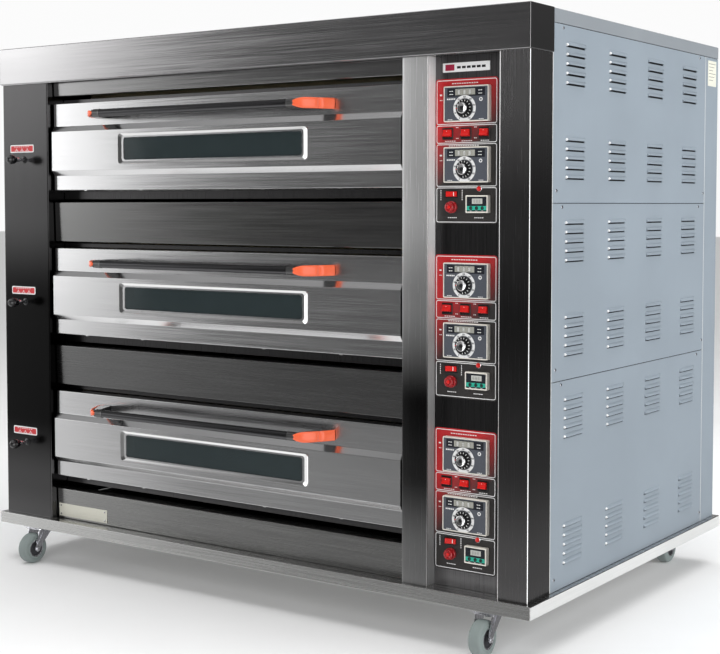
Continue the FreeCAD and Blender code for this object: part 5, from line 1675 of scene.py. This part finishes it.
def caster_fork(name, fork, axle):
    x0, x1 = span(fork)[:2]
    top = span(fork)[5]
    swivel = JOINT_POINTS[fork]
    plate_box = [b for b in solids_of("caster_plates") if abs((b[0] + b[1]) / 2 - swivel[0]) < 5
                 and abs((b[2] + b[3]) / 2 - swivel[1]) < 60][0]
    piece = Piece("caster_fork_look_" + name, M["zinc"], M["seam"])
    outer = (x1 - x0) / 2 - 3.0
    crown = 3.0
    half = 22.0
    for sign in (-1, 1):
        edges = sorted((swivel[0] + sign * outer, swivel[0] + sign * (outer - 2.4)))
        outline = [
            (swivel[1] - half, top - 1), (swivel[1] + half, top - 1), (swivel[1] + half, top - 8),
            (axle[1] + 9.5, axle[2] + 2), (axle[1] + 7.5, axle[2] - 6), (axle[1], axle[2] - 9.0),
            (axle[1] - 7.5, axle[2] - 6), (axle[1] - 9.5, axle[2] + 2),
        ]
        piece.run(rounded(outline, 4.0, 4, closed=True), "dh", edges[0], edges[1])
        rib_x = sorted((swivel[0] + sign * (outer - 0.6), swivel[0] + sign * (outer + 1.5)))
        rib = [
            (swivel[1] - 6, top - 3), (swivel[1] + 2, top - 3), (axle[1] + 4.5, axle[2] + 12),
            (axle[1] - 3.5, axle[2] + 12),
        ]
        piece.run(rounded(rib, 3.0, 4, closed=True), "dh", rib_x[0], rib_x[1])
        face = swivel[0] + sign * outer
        nut = [
            (7.6, -0.5), (7.6, 0.8), (7.0, 1.2), (5.4, 1.2), (5.4, 2.2), (4.6, 2.9), (2.4, 2.95),
            (0.4, 2.95),
        ]
        piece.lathe((face, axle[1], axle[2]), [(r, sign * t) for r, t in nut], "x", 0, 24)
    piece.lathe((swivel[0] - outer + 0.4, axle[1], axle[2]), [(3.6, 0), (3.6, 2 * outer - 0.8)], "x", 0, 20)
    piece.block(
        swivel[0] - outer, swivel[0] + outer, swivel[1] - half, swivel[1] + half, top - crown, top, 1.0,
    )
    piece.lathe(
        (swivel[0], swivel[1], top - 9.5), [(9.0, 0), (9.0, 4), (15.0, 5.4), (17.0, 6.6), (17.0, 7.0)], "h",
        0, 32,
    )
    piece.finish(fork, fork, slot="zinc_steel")
    head = Piece("caster_head_" + name, M["zinc"], M["hub"])
    p0, p1, q0, q1, _, plate_top = plate_box
    head.block(p0, p1, q0, q1, plate_top - 3.0, plate_top, 0.8)
    race = [(19.0, 0.4), (21.5, 0.9), (22.0, 2.0), (22.0, 3.4), (20.5, 4.4)]
    head.lathe((swivel[0], swivel[1], top), race, "h", 1, 40)
    for x in (p0 + 9, p1 - 9):
        for d in (q0 + 9, q1 - 9):
            rows = [
                ring_points((x, d, plate_top - 3.0 - t), r, "h", 6) for r,
                t in ((5.6, 0), (5.6, 3.4), (4.6, 4.2))
            ]
            head.stack(rows, 0)
            head.lathe((x, d, plate_top - 9.0), [(2.2, 0), (2.9, 0.6), (2.9, 4.0)], "h", 0, 14)
    head.finish(BODY, *(["caster_plates"] if name == "front_left" else []), slot="zinc_steel")


# ---------------------------------------------------------------- parts that keep the frame's own shape


def dress_frame_parts():
    """Gives the inner CAD parts their finish."""
    finishes = {
        "oven_chambers": "chamber",
        "hearth_stones": "stone",
        "heating_elements": "element",
        "insulation": "wool",
        "hinge_brackets": "zinc",
        "control_gear": "black",
    }
    for name, finish in finishes.items():
        node = frame["nodes"][name]
        node.data.materials.clear()
        node.data.materials.append(M[finish])


canopy_cover()
front_columns()
deck_strips()
recess_lining()
side_covers()
rear_covers()
roof_sheet()
base_tray()
cover_screws()
for deck_index, deck_name in enumerate(DECKS):
    door(deck_name)
    damper(deck_name)
    overlay(deck_index, deck_name)
    timer(deck_index, deck_name)
    for dial_name in ("upper", "lower"):
        dial(deck_name, dial_name)
    for rocker_name in ("top_heat", "bottom_heat", "light", "power"):
        rocker_piece(deck_name, rocker_name)
bay_plate()
for controller_index, controller_box in enumerate(sorted(CONTROLLERS, key=lambda b: b[4])):
    controller(controller_index, controller_box)
switch_frames()
plates()
for caster_name in ("front_left", "front_right", "rear_left", "rear_right"):
    caster(caster_name)
dress_frame_parts()
